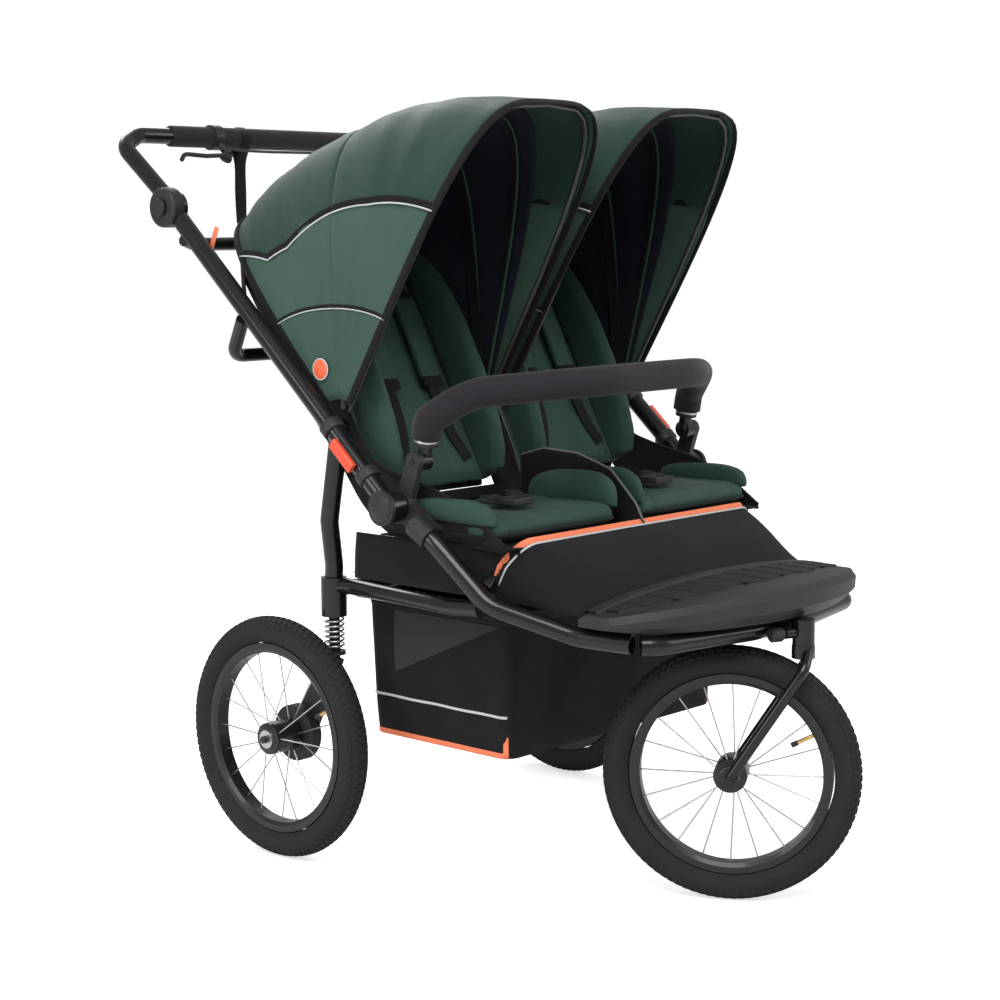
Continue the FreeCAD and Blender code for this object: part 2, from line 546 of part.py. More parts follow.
# ---------------------------------------------------------------- seats
# Two padded seats on one fabric deck. Each back turns on a round bar at its foot, which
# the upper frame carries, so the backs fold with it.
pad_low = size.seat_high - size.pad_thick
pad_span = size.seat_front_ahead - size.seat_back_ahead
deck_side, deck_end, deck_gap = 10, 7, 0.4
deck_half = size.seat_middle + size.seat_half_width - deck_side
deck = Part.makeBox(2 * deck_half, pad_span - 2 * deck_end, size.fabric_thick,
                    at(-deck_half, size.seat_front_ahead - deck_end, pad_low - size.fabric_thick - deck_gap))
solid("seat_deck", deck)
recline = at(0, size.seat_back_ahead - 2, size.seat_high + 14)
back_way = Vector(0, cos(radians(size.back_angle)), sin(radians(size.back_angle)))
back_behind = Vector(0, back_way.z, -back_way.y) * size.back_thick
pad_rounding, back_rounding = 14, 12
for side, sign in SIDES:
    pad = doc.addObject("Part::Box", "seat_pad_block_" + side)
    pad.setExpression("Length", bound("seat_half_width * 2"))
    pad.setExpression("Width", bound("seat_front_ahead - seat_back_ahead"))
    pad.setExpression("Height", bound("pad_thick"))
    low_x = sign * size.seat_middle - size.seat_half_width
    pad.Placement = Placement(at(low_x, size.seat_front_ahead, pad_low), Rotation())
    doc.recompute()
    rounded = doc.addObject("Part::Fillet", "seat_pad_" + side)
    rounded.Base = pad
    rounded.Edges = [(k + 1, pad_rounding, pad_rounding) for k in range(12)]
    keep("seat_pad_" + side, rounded)
    start = recline + Vector(sign * size.back_middle - size.back_half_width, 0, 0)
    end = start + back_way * size.back_length
    width = Vector(2 * size.back_half_width, 0, 0)
    back = slab([start, end, end + back_behind, start + back_behind], width, back_rounding)
    solid("seat_back_" + side, back.fuse(rod(start, start + width, size.recline_radius)))

# ---------------------------------------------------------------- basket
# A fabric box, open at the top, that hangs between the side rails.
outer = Part.makeBox(2 * size.basket_half_width, size.basket_front_ahead - size.basket_rear_ahead,
                     size.basket_high - size.basket_low,
                     at(-size.basket_half_width, size.basket_front_ahead, size.basket_low))
skin = size.fabric_thick
room_half = size.basket_half_width - skin
room = Part.makeBox(2 * room_half, size.basket_front_ahead - size.basket_rear_ahead - 2 * skin,
                    size.basket_high - size.basket_low,
                    at(-room_half, size.basket_front_ahead - skin, size.basket_low + skin))
solid("basket", outer.cut(room))

# ---------------------------------------------------------------- hoods
# Each hood is fabric over two sprung bows. The rear part is sewn to the upper frame, and
# the middle and front parts swing back on their bows.
def bow_outline(middle, angle, reach, inset, foot=40):
    """The arch of a hood at one angle: a squarish bow of half width and reach, less inset."""
    way = Vector(0, cos(radians(angle)), sin(radians(angle)))
    points = []
    for k in range(17):
        turn = pi * k / 16
        flat = cos(turn)
        width = (size.hood_half_width - inset) * (1 if flat > 0 else -1)
        across = abs(flat) ** size.bow_squareness * width
        out = foot + (sin(turn) ** size.bow_squareness if 0 < k < 16 else 0) * (reach - inset - foot)
        points.append(hood_pivot + Vector(middle + across, 0, 0) + way * out)
    return points


def hood_panel(middle, stations):
    """A thin fabric shell through the bows of the stations, each an angle and a reach."""
    sections = []
    for angle, reach in stations:
        outer = bow_outline(middle, angle, reach, 0)
        inner = bow_outline(middle, angle, reach, size.fabric_thick)
        sections.append(outer + inner[::-1])
    return loft(sections)


def reach_at(angle):
    """How far the hood's skin stands from its pivot at an angle."""
    spans = ((size.hood_rear_angle, size.hood_rear_reach), (size.hood_mid_angle, size.hood_mid_reach),
             (size.hood_front_angle, size.hood_front_reach))
    for (low, near), (high, far) in zip(spans, spans[1:]):
        if angle <= high:
            return near + (far - near) * (angle - low) / (high - low)
    return spans[-1][1]


split_rear = (size.hood_rear_angle + size.hood_mid_angle) / 2
split_front = (size.hood_mid_angle + size.hood_front_angle) / 2
for side, sign in SIDES:
    middle = sign * size.hood_middle
    for part_name, low, high in (("rear", size.hood_rear_angle, split_rear - 0.5),
                                 ("mid", split_rear + 0.5, split_front - 0.5),
                                 ("front", split_front + 0.5, size.hood_front_angle)):
        angles = [low, high] if part_name != "mid" else [low, size.hood_mid_angle, high]
        solid(f"hood_{part_name}_{side}", hood_panel(middle, [(a, reach_at(a)) for a in angles]))
    inset = size.fabric_thick + size.bow_radius + 1
    for part_name, angle, reach in (("mid", size.hood_mid_angle, size.hood_mid_reach),
                                    ("front", size.hood_front_angle - 1, size.hood_front_reach)):
        bow = tube(bow_outline(middle, angle, reach, inset, 24), size.bow_radius, 30)
        solid(f"hood_bow_{part_name}_{side}", bow)

# ---------------------------------------------------------------- bumper bar
# A bent tube under foam crosses in front of the children and swings on the castings.
bar_x = size.bar_half_width
bar_points = [bar_pivot + Vector(bar_x, 0, 0),
              Vector(bar_x, bar_pivot.y - 10, size.bar_high - 42),
              Vector(bar_x - 40, bar_pivot.y - size.bar_reach * 0.36, size.bar_high),
              Vector(bar_x * 0.36, bar_pivot.y - size.bar_reach, size.bar_high + 14)]
arc_bar = across(bar_points, size.bar_tube_radius, 150)
eye_in = bar_x - 6
eye_out = inside - 0.3
for sign in (-1, 1):
    low = min(sign * eye_in, sign * eye_out)
    arc_bar = arc_bar.fuse(Part.makeCylinder(15, eye_out - eye_in, bar_pivot + X_AXIS * low, X_AXIS))
    low = min(sign * eye_in, sign * (inside + 12))
    arc_bar = arc_bar.fuse(Part.makeCylinder(bar_pin_radius - 0.05, inside + 12 - eye_in,
                                             bar_pivot + X_AXIS * low, X_AXIS))
solid("bumper_bar", arc_bar)
foam_points = [bar_points[0] * 0.45 + bar_points[1] * 0.55] + bar_points[1:]
foam = across(foam_points, size.foam_radius, 150)
solid("bumper_foam", foam.cut(arc_bar))

# ---------------------------------------------------------------- sprung rear legs
# A slider runs up into each rear leg's boot against a coil spring. Its arm carries the
# drum cover and the stub axle.
slider_over, seat_thick, thick, spring_turns, end_gap = 20, 6, 12, 6, 0.5
for side, sign in SIDES:
    foot = Vector(sign * size.strut_half_width, leg_foot.y, 0)
    axle_in = Vector(sign * size.strut_half_width, rear_axle.y, rear_axle.z)
    arm = Part.makeCylinder(size.slider_radius, size.spring_high - size.spring_low + 2 * slider_over,
                            foot + Z_AXIS * (size.spring_low - slider_over))
    arm = arm.fuse(Part.makeCylinder(size.spring_radius + 1, seat_thick,
                                     foot + Z_AXIS * (size.spring_low - seat_thick)))
    low = foot + Vector(-thick / 2, 0, size.spring_low - 14)
    end = axle_in + Vector(-thick / 2, 0, 0)
    plate = slab([low + Vector(0, -16, 0), low + Vector(0, 16, 8), end + Vector(0, 16, 22),
                  end + Vector(0, 2, -22), end + Vector(0, -20, -10)], Vector(thick, 0, 0), 0)
    arm = arm.fuse(plate)
    drum_out = sign * (size.wheel_plane - size.hub_length / 2 - 3)
    drum_x = min(drum_out, drum_out - sign * size.drum_depth)
    arm = arm.fuse(Part.makeCylinder(size.drum_radius, size.drum_depth, rear_axle + X_AXIS * drum_x,
                                     X_AXIS))
    axle_x = min(axle_in.x, axle_in.x + sign * size.axle_length)
    arm = arm.fuse(Part.makeCylinder(size.axle_radius, size.axle_length, rear_axle + X_AXIS * axle_x,
                                     X_AXIS))
    solid("swing_arm_" + side, arm)
    pitch = (size.spring_high - size.spring_low - 2 * (size.spring_wire + end_gap)) / spring_turns
    coil = Part.makeHelix(pitch, pitch * spring_turns, size.spring_radius - size.spring_wire / 2)
    ring = Part.Wire(Part.Circle(Vector(size.spring_radius - size.spring_wire / 2, 0, 0), Y_AXIS,
                                 size.spring_wire / 2).toShape())
    spring = Part.Wire(coil.Edges).makePipeShell([ring], True, True)
    spring.translate(foot + Vector(0, 0, size.spring_low + size.spring_wire + end_gap))
    solid("spring_" + side, spring)

# ---------------------------------------------------------------- check and write every part
doc.recompute()
for thing in doc.Objects:
    if "Invalid" in thing.State or "Error" in thing.State:
        raise RuntimeError(thing.Name + " failed: " + str(thing.State))
os.makedirs("parts", exist_ok=True)
for node, thing in NODES.items():
    shape = thing.Shape
    if shape.isNull() or not shape.isValid() or not shape.Solids:
        raise RuntimeError(node + " has no valid solid")
    shape.exportStep("parts/" + node + ".step")
print(len(NODES), "parts")
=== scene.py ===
"""Looks of the side-by-side double jogging stroller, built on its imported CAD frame.

Metres. +Z is up, -Y is the front, and the origin is on the ground under the middle.
Each section is one piece of the stroller, in the order in which it is put together.
"""
from math import atan2, cos, hypot, pi, radians, sin

import bmesh
import bpy
import numpy as np
from mathutils import Matrix, Vector, noise


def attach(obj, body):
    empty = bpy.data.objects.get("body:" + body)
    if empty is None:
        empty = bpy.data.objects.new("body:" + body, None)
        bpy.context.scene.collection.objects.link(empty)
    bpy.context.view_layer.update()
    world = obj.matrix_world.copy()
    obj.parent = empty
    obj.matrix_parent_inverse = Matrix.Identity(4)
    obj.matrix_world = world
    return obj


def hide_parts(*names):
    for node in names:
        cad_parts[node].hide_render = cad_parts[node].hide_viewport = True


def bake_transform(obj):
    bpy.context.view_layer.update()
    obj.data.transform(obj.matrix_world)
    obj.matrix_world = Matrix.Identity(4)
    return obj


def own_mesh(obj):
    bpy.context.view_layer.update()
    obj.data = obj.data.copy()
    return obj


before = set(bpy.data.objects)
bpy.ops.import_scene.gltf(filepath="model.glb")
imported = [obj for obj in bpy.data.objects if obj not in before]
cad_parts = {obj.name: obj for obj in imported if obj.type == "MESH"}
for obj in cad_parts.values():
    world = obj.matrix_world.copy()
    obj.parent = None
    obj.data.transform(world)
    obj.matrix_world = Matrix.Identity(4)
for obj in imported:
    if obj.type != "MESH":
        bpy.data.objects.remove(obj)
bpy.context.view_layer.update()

# Camera, stage and lamps: a wide flat floor, a broad soft lamp over the left shoulder, a
# weaker one from the right, strips at the side and back, and a sky the camera sees brighter.
camera = bpy.data.cameras.new("camera")
camera.lens = 75.47
camera.sensor_width = 36
camera.shift_x = -0.0601
camera.shift_y = 0.0198
eye = bpy.data.objects.new("camera", camera)
eye.location = (-2.599, -2.319, 1.042)
eye.rotation_euler = (radians(81.856), 0, radians(-49.044))
bpy.context.scene.collection.objects.link(eye)
bpy.context.scene.camera = eye

bpy.ops.object.select_all(action="DESELECT")
bpy.ops.mesh.primitive_plane_add(size=60, location=(0, 0, -0.0005))
floor = bpy.context.object
floor.name = "floor"

for name, place, aim, power, width, height in (
        ("key", (-2.6, -2.2, 4.2), (0, 0, 0.5), 190, 3.2, 2.4),
        ("fill", (2.6, -3.6, 2.4), (0, 0, 0.6), 60, 2.6, 2.6),
        ("side", (-4.0, 0.9, 1.9), (0, 0.1, 0.6), 50, 1.2, 2.4),
        ("back", (1.2, 3.4, 3.4), (0, 0, 0.8), 80, 3.0, 1.4)):
    lamp = bpy.data.lights.new(name, "AREA")
    lamp.shape = "RECTANGLE"
    lamp.energy = power
    lamp.size = width
    lamp.size_y = height
    holder = bpy.data.objects.new(name, lamp)
    holder.location = place
    holder.rotation_euler = (Vector(aim) - Vector(place)).to_track_quat("-Z", "Y").to_euler()
    bpy.context.scene.collection.objects.link(holder)

world = bpy.data.worlds.new("sky")
world.use_nodes = True
sky = world.node_tree.nodes["Background"]
sky_light, sky_extra_for_camera = 0.5, 0.55
sky.inputs["Color"].default_value = (0.97, 0.98, 1, 1)
seen = world.node_tree.nodes.new("ShaderNodeLightPath")
scaled = world.node_tree.nodes.new("ShaderNodeMath")
scaled.operation = "MULTIPLY_ADD"
scaled.inputs[1].default_value = sky_extra_for_camera
scaled.inputs[2].default_value = sky_light
world.node_tree.links.new(seen.outputs["Is Camera Ray"], scaled.inputs[0])
world.node_tree.links.new(scaled.outputs["Value"], sky.inputs["Strength"])
bpy.context.scene.world = world
bpy.context.scene.view_settings.view_transform = "Standard"


class Shade:
    """One socket of a material. Sums on it add Math nodes, and node() adds any other."""

    def __init__(self, tree, socket=None):
        self.tree = tree
        self.socket = socket

    def node(self, kind, settings, sockets, output=0):
        made = self.tree.nodes.new("ShaderNode" + kind)
        for name, value in settings.items():
            if name == "stops":
                ramp = made.color_ramp.elements
                while len(ramp) < len(value):
                    ramp.new(0.5)
                for stop, (place, grey) in zip(ramp, value):
                    stop.position = place
                    stop.color = (grey, grey, grey, 1)
            else:
                setattr(made, name, value)
        for key, value in sockets.items():
            if isinstance(value, Shade):
                self.tree.links.new(value.socket, made.inputs[key])
            else:
                made.inputs[key].default_value = value
        return Shade(self.tree, made.outputs[output])

    def maths(self, operation, *terms):
        return self.node("Math", {"operation": operation}, dict(enumerate(terms)))

    def __add__(self, other):
        return self.maths("ADD", self, other)

    __radd__ = __add__

    def __sub__(self, other):
        return self.maths("SUBTRACT", self, other)

    def __rsub__(self, other):
        return self.maths("SUBTRACT", other, self)

    def __mul__(self, other):
        return self.maths("MULTIPLY", self, other)

    __rmul__ = __mul__

    def colour(self, low, high):
        """The colour that goes from low to high as this value goes from 0 to 1."""
        return self.node("Mix", {"data_type": "RGBA"},
                         {0: self, 6: low if isinstance(low, Shade) else (*low, 1),
                          7: high if isinstance(high, Shade) else (*high, 1)}, 2)

    def cloud(self, scale, detail=2):
        """Soft random patches of this coordinate, from 0 to 1."""
        return self.node("TexNoise", {}, {"Vector": self, "Scale": scale, "Detail": detail})


class Paint:
    """A material with its shader, and the coordinates that its patterns read."""

    def __init__(self, name, **constants):
        self.material = bpy.data.materials.new(name)
        self.material.use_nodes = True
        self.tree = self.material.node_tree
        self.shader = self.tree.nodes["Principled BSDF"]
        for socket, value in constants.items():
            self.shader.inputs[socket.replace("_", " ")].default_value = value
        start = Shade(self.tree)
        self.place = start.node("TexCoord", {}, {}, "Object")
        self.cloth = start.node("UVMap", {"uv_map": "cloth"}, {})

    def feed(self, socket, shade):
        self.tree.links.new(shade.socket, self.shader.inputs[socket])

    def worn(self, patches, dark, light, rough, spread):
        """Lets the same patches vary the colour and the roughness."""
        self.feed("Base Color", patches.colour(dark, light))
        self.feed("Roughness", rough + patches * spread)

    def relief(self, height, depth, strength=1.0):
        """Raises the surface by the height value, up to a depth in metres."""
        self.feed("Normal", height.node("Bump", {}, {"Height": height, "Distance": depth,
                                                     "Strength": strength}, "Normal"))


floor_paint = Paint("pale_floor", Base_Color=(0.88, 0.88, 0.88, 1), Roughness=0.75,
                    Specular_IOR_Level=0.1, Emission_Color=(1, 1, 1, 1))
seen = floor_paint.place.node("LightPath", {}, {})
floor_paint.feed("Emission Strength", seen * 0.6)
floor_paint.relief(floor_paint.place.cloud(90), 0.0004)
floor.data.materials.append(floor_paint.material)


def coat(paint, *nodes):
    """Gives CAD nodes their finish in place of the frame's plain one."""
    for node in nodes:
        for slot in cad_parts[node].material_slots:
            slot.material = paint.material


# Frame tubes: aluminium, bent and welded, then powder coated in gloss black. The coat has
# a faint orange peel, a little dust, and is rubbed duller along the lower runs.
tube_paint = Paint("black_powder_coat", Coat_Roughness=0.08, Specular_IOR_Level=0.22)
patches = tube_paint.place.cloud(9, 4)
tube_paint.worn(patches, (0.004, 0.004, 0.0045), (0.009, 0.009, 0.01), 0.2, 0.16)
tube_paint.feed("Coat Weight", 0.45 - patches * 0.2)
tube_paint.relief(tube_paint.place.cloud(520), 0.00012)
coat(tube_paint, "lower_tube_left", "lower_tube_right", "side_rails", "rear_leg_left",
     "rear_leg_right", "front_cross_tube", "cross_tubes", "head_tube", "upper_tube_left",
     "upper_tube_right", "upper_cross_tubes", "handle_bar", "bumper_bar", "fork")

# Hinge castings, handle joints, brake parts and catches: glass-filled nylon, moulded with
# a fine spark-eroded grain that is polished lighter where hands rub it.
nylon_paint = Paint("satin_nylon", Specular_IOR_Level=0.3)
grain = nylon_paint.place.cloud(1400, 3)
wear = nylon_paint.place.cloud(14, 5)
nylon_paint.worn(wear, (0.012, 0.012, 0.013), (0.028, 0.028, 0.03), 0.36, 0.2)
nylon_paint.relief(grain + wear * 0.4, 0.00016)
coat(nylon_paint, "handle_joints", "hinge_casting_left", "hinge_casting_right",
     "handle_button_left", "handle_button_right", "brake_bracket", "brake_lever",
     "swivel_lock_knob", "swing_arm_left", "swing_arm_right")

catch_paint = Paint("orange_nylon", Coat_Weight=0.25, Coat_Roughness=0.2)
wear = catch_paint.place.cloud(40, 4)
catch_paint.worn(wear, (0.62, 0.05, 0.018), (0.8, 0.1, 0.04), 0.3, 0.18)
catch_paint.relief(catch_paint.place.cloud(1100), 0.0001)
coat(catch_paint, "fold_catch_left", "fold_catch_right")

steel_paint = Paint("zinc_plated_steel")
streaks = steel_paint.place.node("Mapping", {}, {"Vector": steel_paint.place,
                                                 "Scale": (40, 900, 900)})
brush = streaks.cloud(1, 4)
steel_paint.feed("Metallic", 0.9 + brush * 0.1)
steel_paint.worn(brush, (0.34, 0.34, 0.35), (0.62, 0.62, 0.64), 0.22, 0.2)
steel_paint.relief(brush, 0.00006)
coat(steel_paint, "hinge_pins")

bow_paint = Paint("black_bow_rod", Coat_Weight=0.3)
wear = bow_paint.place.cloud(60, 4)
bow_paint.worn(wear, (0.01, 0.01, 0.01), (0.026, 0.026, 0.028), 0.3, 0.2)
bow_paint.relief(bow_paint.place.cloud(900), 0.0001)
coat(bow_paint, "hood_bow_mid_left", "hood_bow_mid_right", "hood_bow_front_left",
     "hood_bow_front_right")


def deselect():
    """Leaves nothing selected, so that the next operator acts on its own piece alone."""
    if bpy.context.object and bpy.context.object.mode != "OBJECT":
        bpy.ops.object.mode_set(mode="OBJECT")
    bpy.ops.object.select_all(action="DESELECT")


def pick(piece):
    """Makes the piece the only one selected."""
    deselect()
    piece.select_set(True)
    bpy.context.view_layer.objects.active = piece
    return piece


def settle(piece, name, paint, body, *stands_for):
    """Fixes the piece's place and modifiers, gives it its finish, and hangs it on a body."""
    pick(piece)
    for modifier in list(piece.modifiers):
        bpy.ops.object.modifier_apply(modifier=modifier.name)
    bpy.ops.object.transform_apply(location=True, rotation=True, scale=True)
    piece.name = name
    piece.data.name = name
    piece.data.materials.clear()
    piece.data.materials.append(paint.material)
    if body:
        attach(piece, body)
    if stands_for:
        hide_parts(*stands_for)
    return piece


def twin(piece, name, turn):
    """A copy of a finished piece with its own mesh, moved by the matrix."""
    copy = piece.copy()
    copy.data = piece.data.copy()
    bpy.context.scene.collection.objects.link(copy)
    copy.name = name
    copy.data.name = name
    copy.data.transform(turn)
    if turn.determinant() < 0:
        copy.data.flip_normals()
    return copy


def choose(piece, kind, rule):
    """Opens the piece for editing, with only the FACEs or VERTs picked that fit the rule."""
    bpy.ops.object.mode_set(mode="EDIT")
    bpy.ops.mesh.select_all(action="DESELECT")
    bpy.ops.object.mode_set(mode="OBJECT")
    for part in piece.data.polygons if kind == "FACE" else piece.data.vertices:
        part.select = rule(part)
    bpy.ops.object.mode_set(mode="EDIT")
    bpy.ops.mesh.select_mode(type=kind)


def sink(inset, depth):
    """Insets the picked faces and moves them in by the depth."""
    bpy.ops.mesh.inset(thickness=inset)
    bpy.ops.mesh.extrude_region_shrink_fatten(TRANSFORM_OT_shrink_fatten={"value": -depth})


def soften(piece, width, segments):
    """Rounds the piece's sharp edges, once its modifiers are applied."""
    edge = piece.modifiers.new("edge", "BEVEL")
    edge.width = width
    edge.segments = segments
    edge.limit_method = "ANGLE"


# Tyres: black rubber on a cotton casing, moulded with five rows of small square knobs.
# They are pumped up on the rims, so the sidewalls bulge past the bead.
tyre_paint = Paint("tyre_rubber", Specular_IOR_Level=0.2)
dust = tyre_paint.place.cloud(22, 5)
tyre_paint.worn(dust, (0.009, 0.009, 0.0095), (0.026, 0.0255, 0.025), 0.62, 0.25)
tyre_paint.relief(tyre_paint.place.cloud(700, 3) + dust * 0.5, 0.0003)

wheel_radius = 0.2
casing_radius = 0.0224
ring_radius = wheel_radius - casing_radius - 0.0014
deselect()
bpy.ops.mesh.primitive_torus_add(major_radius=ring_radius, minor_radius=casing_radius,
                                 major_segments=112, minor_segments=28, rotation=(0, pi / 2, 0))
tyre = bpy.context.object
bpy.ops.object.transform_apply(location=False, rotation=True, scale=False)
bead_radius, sidewall_bulge = 0.1575, 0.06
choose(tyre, "VERT", lambda corner: hypot(corner.co.y, corner.co.z) < bead_radius)
bpy.ops.mesh.delete(type="VERT")
bpy.ops.object.mode_set(mode="OBJECT")
for corner in tyre.data.vertices:
    out = hypot(corner.co.y, corner.co.z)
    corner.co.x *= 1 + sidewall_bulge * (1 - abs(out - ring_radius) / casing_radius)
wall = tyre.modifiers.new("wall", "SOLIDIFY")
wall.thickness = 0.0025
rows = [tyre]
knob_count = 96
pivot = bpy.data.objects.new("knob_turn", None)
bpy.context.scene.collection.objects.link(pivot)
pivot.rotation_euler = (2 * pi / knob_count, 0, 0)
for row, lean in enumerate((-54, -29, 0, 29, 54)):
    deselect()
    bpy.ops.mesh.primitive_cube_add(size=1)
    knob = bpy.context.object
    knob.scale = (0.0078 if abs(lean) < 50 else 0.006, 0.0092, 0.0032)
    bpy.ops.object.transform_apply(location=False, rotation=False, scale=True)
    soften(knob, 0.0009, 1)
    bpy.ops.object.modifier_apply(modifier="edge")
    tilt = Matrix.Rotation(radians(lean), 4, "Y")
    knob.data.transform(Matrix.Rotation(pi / knob_count * (row % 2), 4, "X")
                        @ Matrix.Translation((0, 0, ring_radius)) @ tilt
                        @ Matrix.Translation((0, 0, casing_radius)))
    repeat = knob.modifiers.new("repeat", "ARRAY")
    repeat.use_relative_offset = False
    repeat.use_object_offset = True
    repeat.offset_object = pivot
    repeat.count = knob_count
    bpy.ops.object.modifier_apply(modifier="repeat")
    rows.append(knob)
pick(tyre)
bpy.ops.object.modifier_apply(modifier="wall")
for knob in rows:
    knob.select_set(True)
bpy.ops.object.join()
bpy.ops.object.shade_smooth_by_angle(angle=radians(35))
bpy.data.objects.remove(pivot)

front_swivel = radians(31)
wheel_places = {
    "rear_left": Matrix.Translation((0.359, 0.238, wheel_radius)),
    "rear_right": Matrix.Translation((-0.359, 0.238, wheel_radius)),
    "front": Matrix.Translation((-0.0551, -0.4603, wheel_radius))
    @ Matrix.Rotation(front_swivel, 4, "Z")}
wheel_bodies = {"rear_left": "rear_wheel_left", "rear_right": "rear_wheel_right",
                "front": "front_wheel"}


def on_wheels(pattern, name, paint, replaced=""):
    """Copies a piece that is modelled about the axle at the origin onto the three wheels."""
    for wheel, place in wheel_places.items():
        copy = settle(twin(pattern, f"{name}_{wheel}", place), f"{name}_{wheel}", paint,
                      wheel_bodies[wheel], *([replaced + wheel] if replaced else []))
    bpy.data.objects.remove(pattern)


on_wheels(tyre, "knobbed_tyre", tyre_paint, "tyre_")

# Rims, spokes, hubs and valves: rolled aluminium rims anodised satin black, steel spokes,
# black hubs with a pressed cap on each end, and a brass valve with its plastic dust cap.
rim_paint = Paint("black_anodised_rim", Coat_Weight=0.15)
scuff = rim_paint.place.cloud(30, 5)
rim_paint.worn(scuff, (0.008, 0.008, 0.009), (0.022, 0.022, 0.024), 0.26, 0.2)
rim_paint.feed("Metallic", scuff * 0.2 + 0.3)
rim_paint.relief(rim_paint.place.cloud(800), 0.00008)
coat(rim_paint, "rim_rear_left", "rim_rear_right", "rim_front")
coat(steel_paint, "hub_rear_left", "hub_rear_right", "hub_front")

deselect()
bpy.ops.mesh.primitive_cylinder_add(vertices=40, radius=0.0262, depth=0.05,
                                    rotation=(0, pi / 2, 0))
shell = bpy.context.object
bpy.ops.object.transform_apply(location=False, rotation=True, scale=False)
choose(shell, "FACE", lambda face: abs(face.normal.x) > 0.9)
sink(0.006, 0.004)
sink(0.007, -0.0015)
bpy.ops.object.mode_set(mode="OBJECT")
soften(shell, 0.0012, 2)
bpy.ops.object.modifier_apply(modifier="edge")
bpy.ops.object.shade_smooth_by_angle(angle=radians(35))
on_wheels(shell, "hub_shell", rim_paint)

brass_paint = Paint("brass", Metallic=1.0)
tarnish = brass_paint.place.cloud(300, 4)
brass_paint.worn(tarnish, (0.62, 0.4, 0.12), (0.8, 0.58, 0.24), 0.22, 0.25)
brass_paint.relief(tarnish, 0.00005)
for name, paint, radius, length, high in (("valve_stem", brass_paint, 0.0032, 0.03, 0.128),
                                          ("valve_cap", nylon_paint, 0.0042, 0.011, 0.108)):
    deselect()
    bpy.ops.mesh.primitive_cylinder_add(vertices=20, radius=radius, depth=length)
    stem = bpy.context.object
    stem.data.transform(Matrix.Rotation(radians(63), 4, "X") @ Matrix.Translation((0, 0, high)))
    edge = stem.modifiers.new("edge", "BEVEL")
    edge.width = 0.0008
    edge.segments = 2
    edge.limit_method = "ANGLE"
    bpy.ops.object.modifier_apply(modifier="edge")
    bpy.ops.object.shade_smooth_by_angle(angle=radians(35))
    on_wheels(stem, name, paint)

# Rear drums and springs: ribbed plastic drum covers bolted to the swing arms, and a
# plated coil spring on each slider between the arm's seat and the boot above it.
for side, sign in (("left", 1), ("right", -1)):
    deselect()
    bpy.ops.mesh.primitive_cylinder_add(vertices=64, radius=0.047, depth=0.003,
                                        rotation=(0, pi / 2, 0),
                                        location=(sign * 0.3095, 0.238, 0.2))
    fin = bpy.context.object
    stack = fin.modifiers.new("stack", "ARRAY")
    stack.use_relative_offset = False
    stack.use_constant_offset = True
    stack.constant_offset_displace = (0, 0, sign * 0.0056)
    stack.count = 4
    edge = fin.modifiers.new("edge", "BEVEL")
    edge.width = 0.0009
    edge.segments = 2
    settle(fin, "drum_fins_" + side, nylon_paint, "strut_" + side)
    bpy.ops.object.shade_smooth_by_angle(angle=radians(35))

    deselect()
    bpy.ops.mesh.primitive_circle_add(vertices=14, radius=0.0017, rotation=(pi / 2, 0, 0),
                                      location=(0.0152, 0, 0))
    coil = bpy.context.object
    bpy.ops.object.transform_apply(location=True, rotation=True, scale=False)
    screw = coil.modifiers.new("screw", "SCREW")
    screw.axis = "Z"
    screw.screw_offset = 0.0083
    screw.iterations = 6
    screw.steps = 28
    screw.render_steps = 28
    screw.use_normal_calculate = True
    bpy.ops.object.modifier_apply(modifier="screw")
    coil.location = (sign * 0.303, 0.161, 0.3495)
    settle(coil, "coil_spring_" + side, steel_paint, "chassis", "spring_" + side)
    bpy.ops.object.shade_smooth()
    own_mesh(coil)

# Fabrics: coated polyester cut from the roll, so every piece has a weave that follows its
# own cloth map. The green has a soft satin sheen, the lining is navy, and the shell black.


def fabric(name, dark, light, rough, pitch=0.0011, sheen=0.06, depth=0.0003):
    """A woven cloth: threads at the pitch, a little uneven colour, and soft creases."""
    paint = Paint(name, Sheen_Weight=sheen, Sheen_Roughness=0.45, Specular_IOR_Level=0.12)
    along = paint.cloth.node("SeparateXYZ", {}, {0: paint.cloth}, 0)
    over = paint.cloth.node("SeparateXYZ", {}, {0: paint.cloth}, 1)
    warp = along.maths("SINE", along * (2 * pi / pitch))
    weft = over.maths("SINE", over * (2 * pi / pitch))
    threads = warp * weft * 0.5 + 0.5
    tone = paint.place.cloud(7, 3)
    crease = paint.place.cloud(34, 3)
    paint.feed("Base Color", (tone * 0.75 + threads * 0.25).colour(dark, light))
    paint.feed("Roughness", rough + crease * 0.18)
    paint.relief(threads * 0.25 + crease, depth * 4, 0.6)
    return paint


green_paint = fabric("green_polyester", (0.022, 0.05, 0.038), (0.04, 0.084, 0.064), 0.42)
black_paint = fabric("black_polyester", (0.0045, 0.0045, 0.005), (0.01, 0.01, 0.011), 0.58)
lining_paint = fabric("navy_lining", (0.006, 0.008, 0.014), (0.012, 0.015, 0.025), 0.62)
webbing_paint = fabric("black_webbing", (0.005, 0.005, 0.0055), (0.013, 0.013, 0.014), 0.55,
                       pitch=0.0024, depth=0.0005)
orange_paint = fabric("salmon_orange_tape", (0.72, 0.16, 0.07), (0.86, 0.25, 0.13), 0.55,
                      sheen=0.1)
silver_paint = fabric("reflective_piping", (0.4, 0.42, 0.42), (0.62, 0.64, 0.64), 0.32,
                      sheen=0.0)
grey_paint = fabric("grey_piping", (0.09, 0.095, 0.095), (0.17, 0.175, 0.175), 0.4, sheen=0.0)


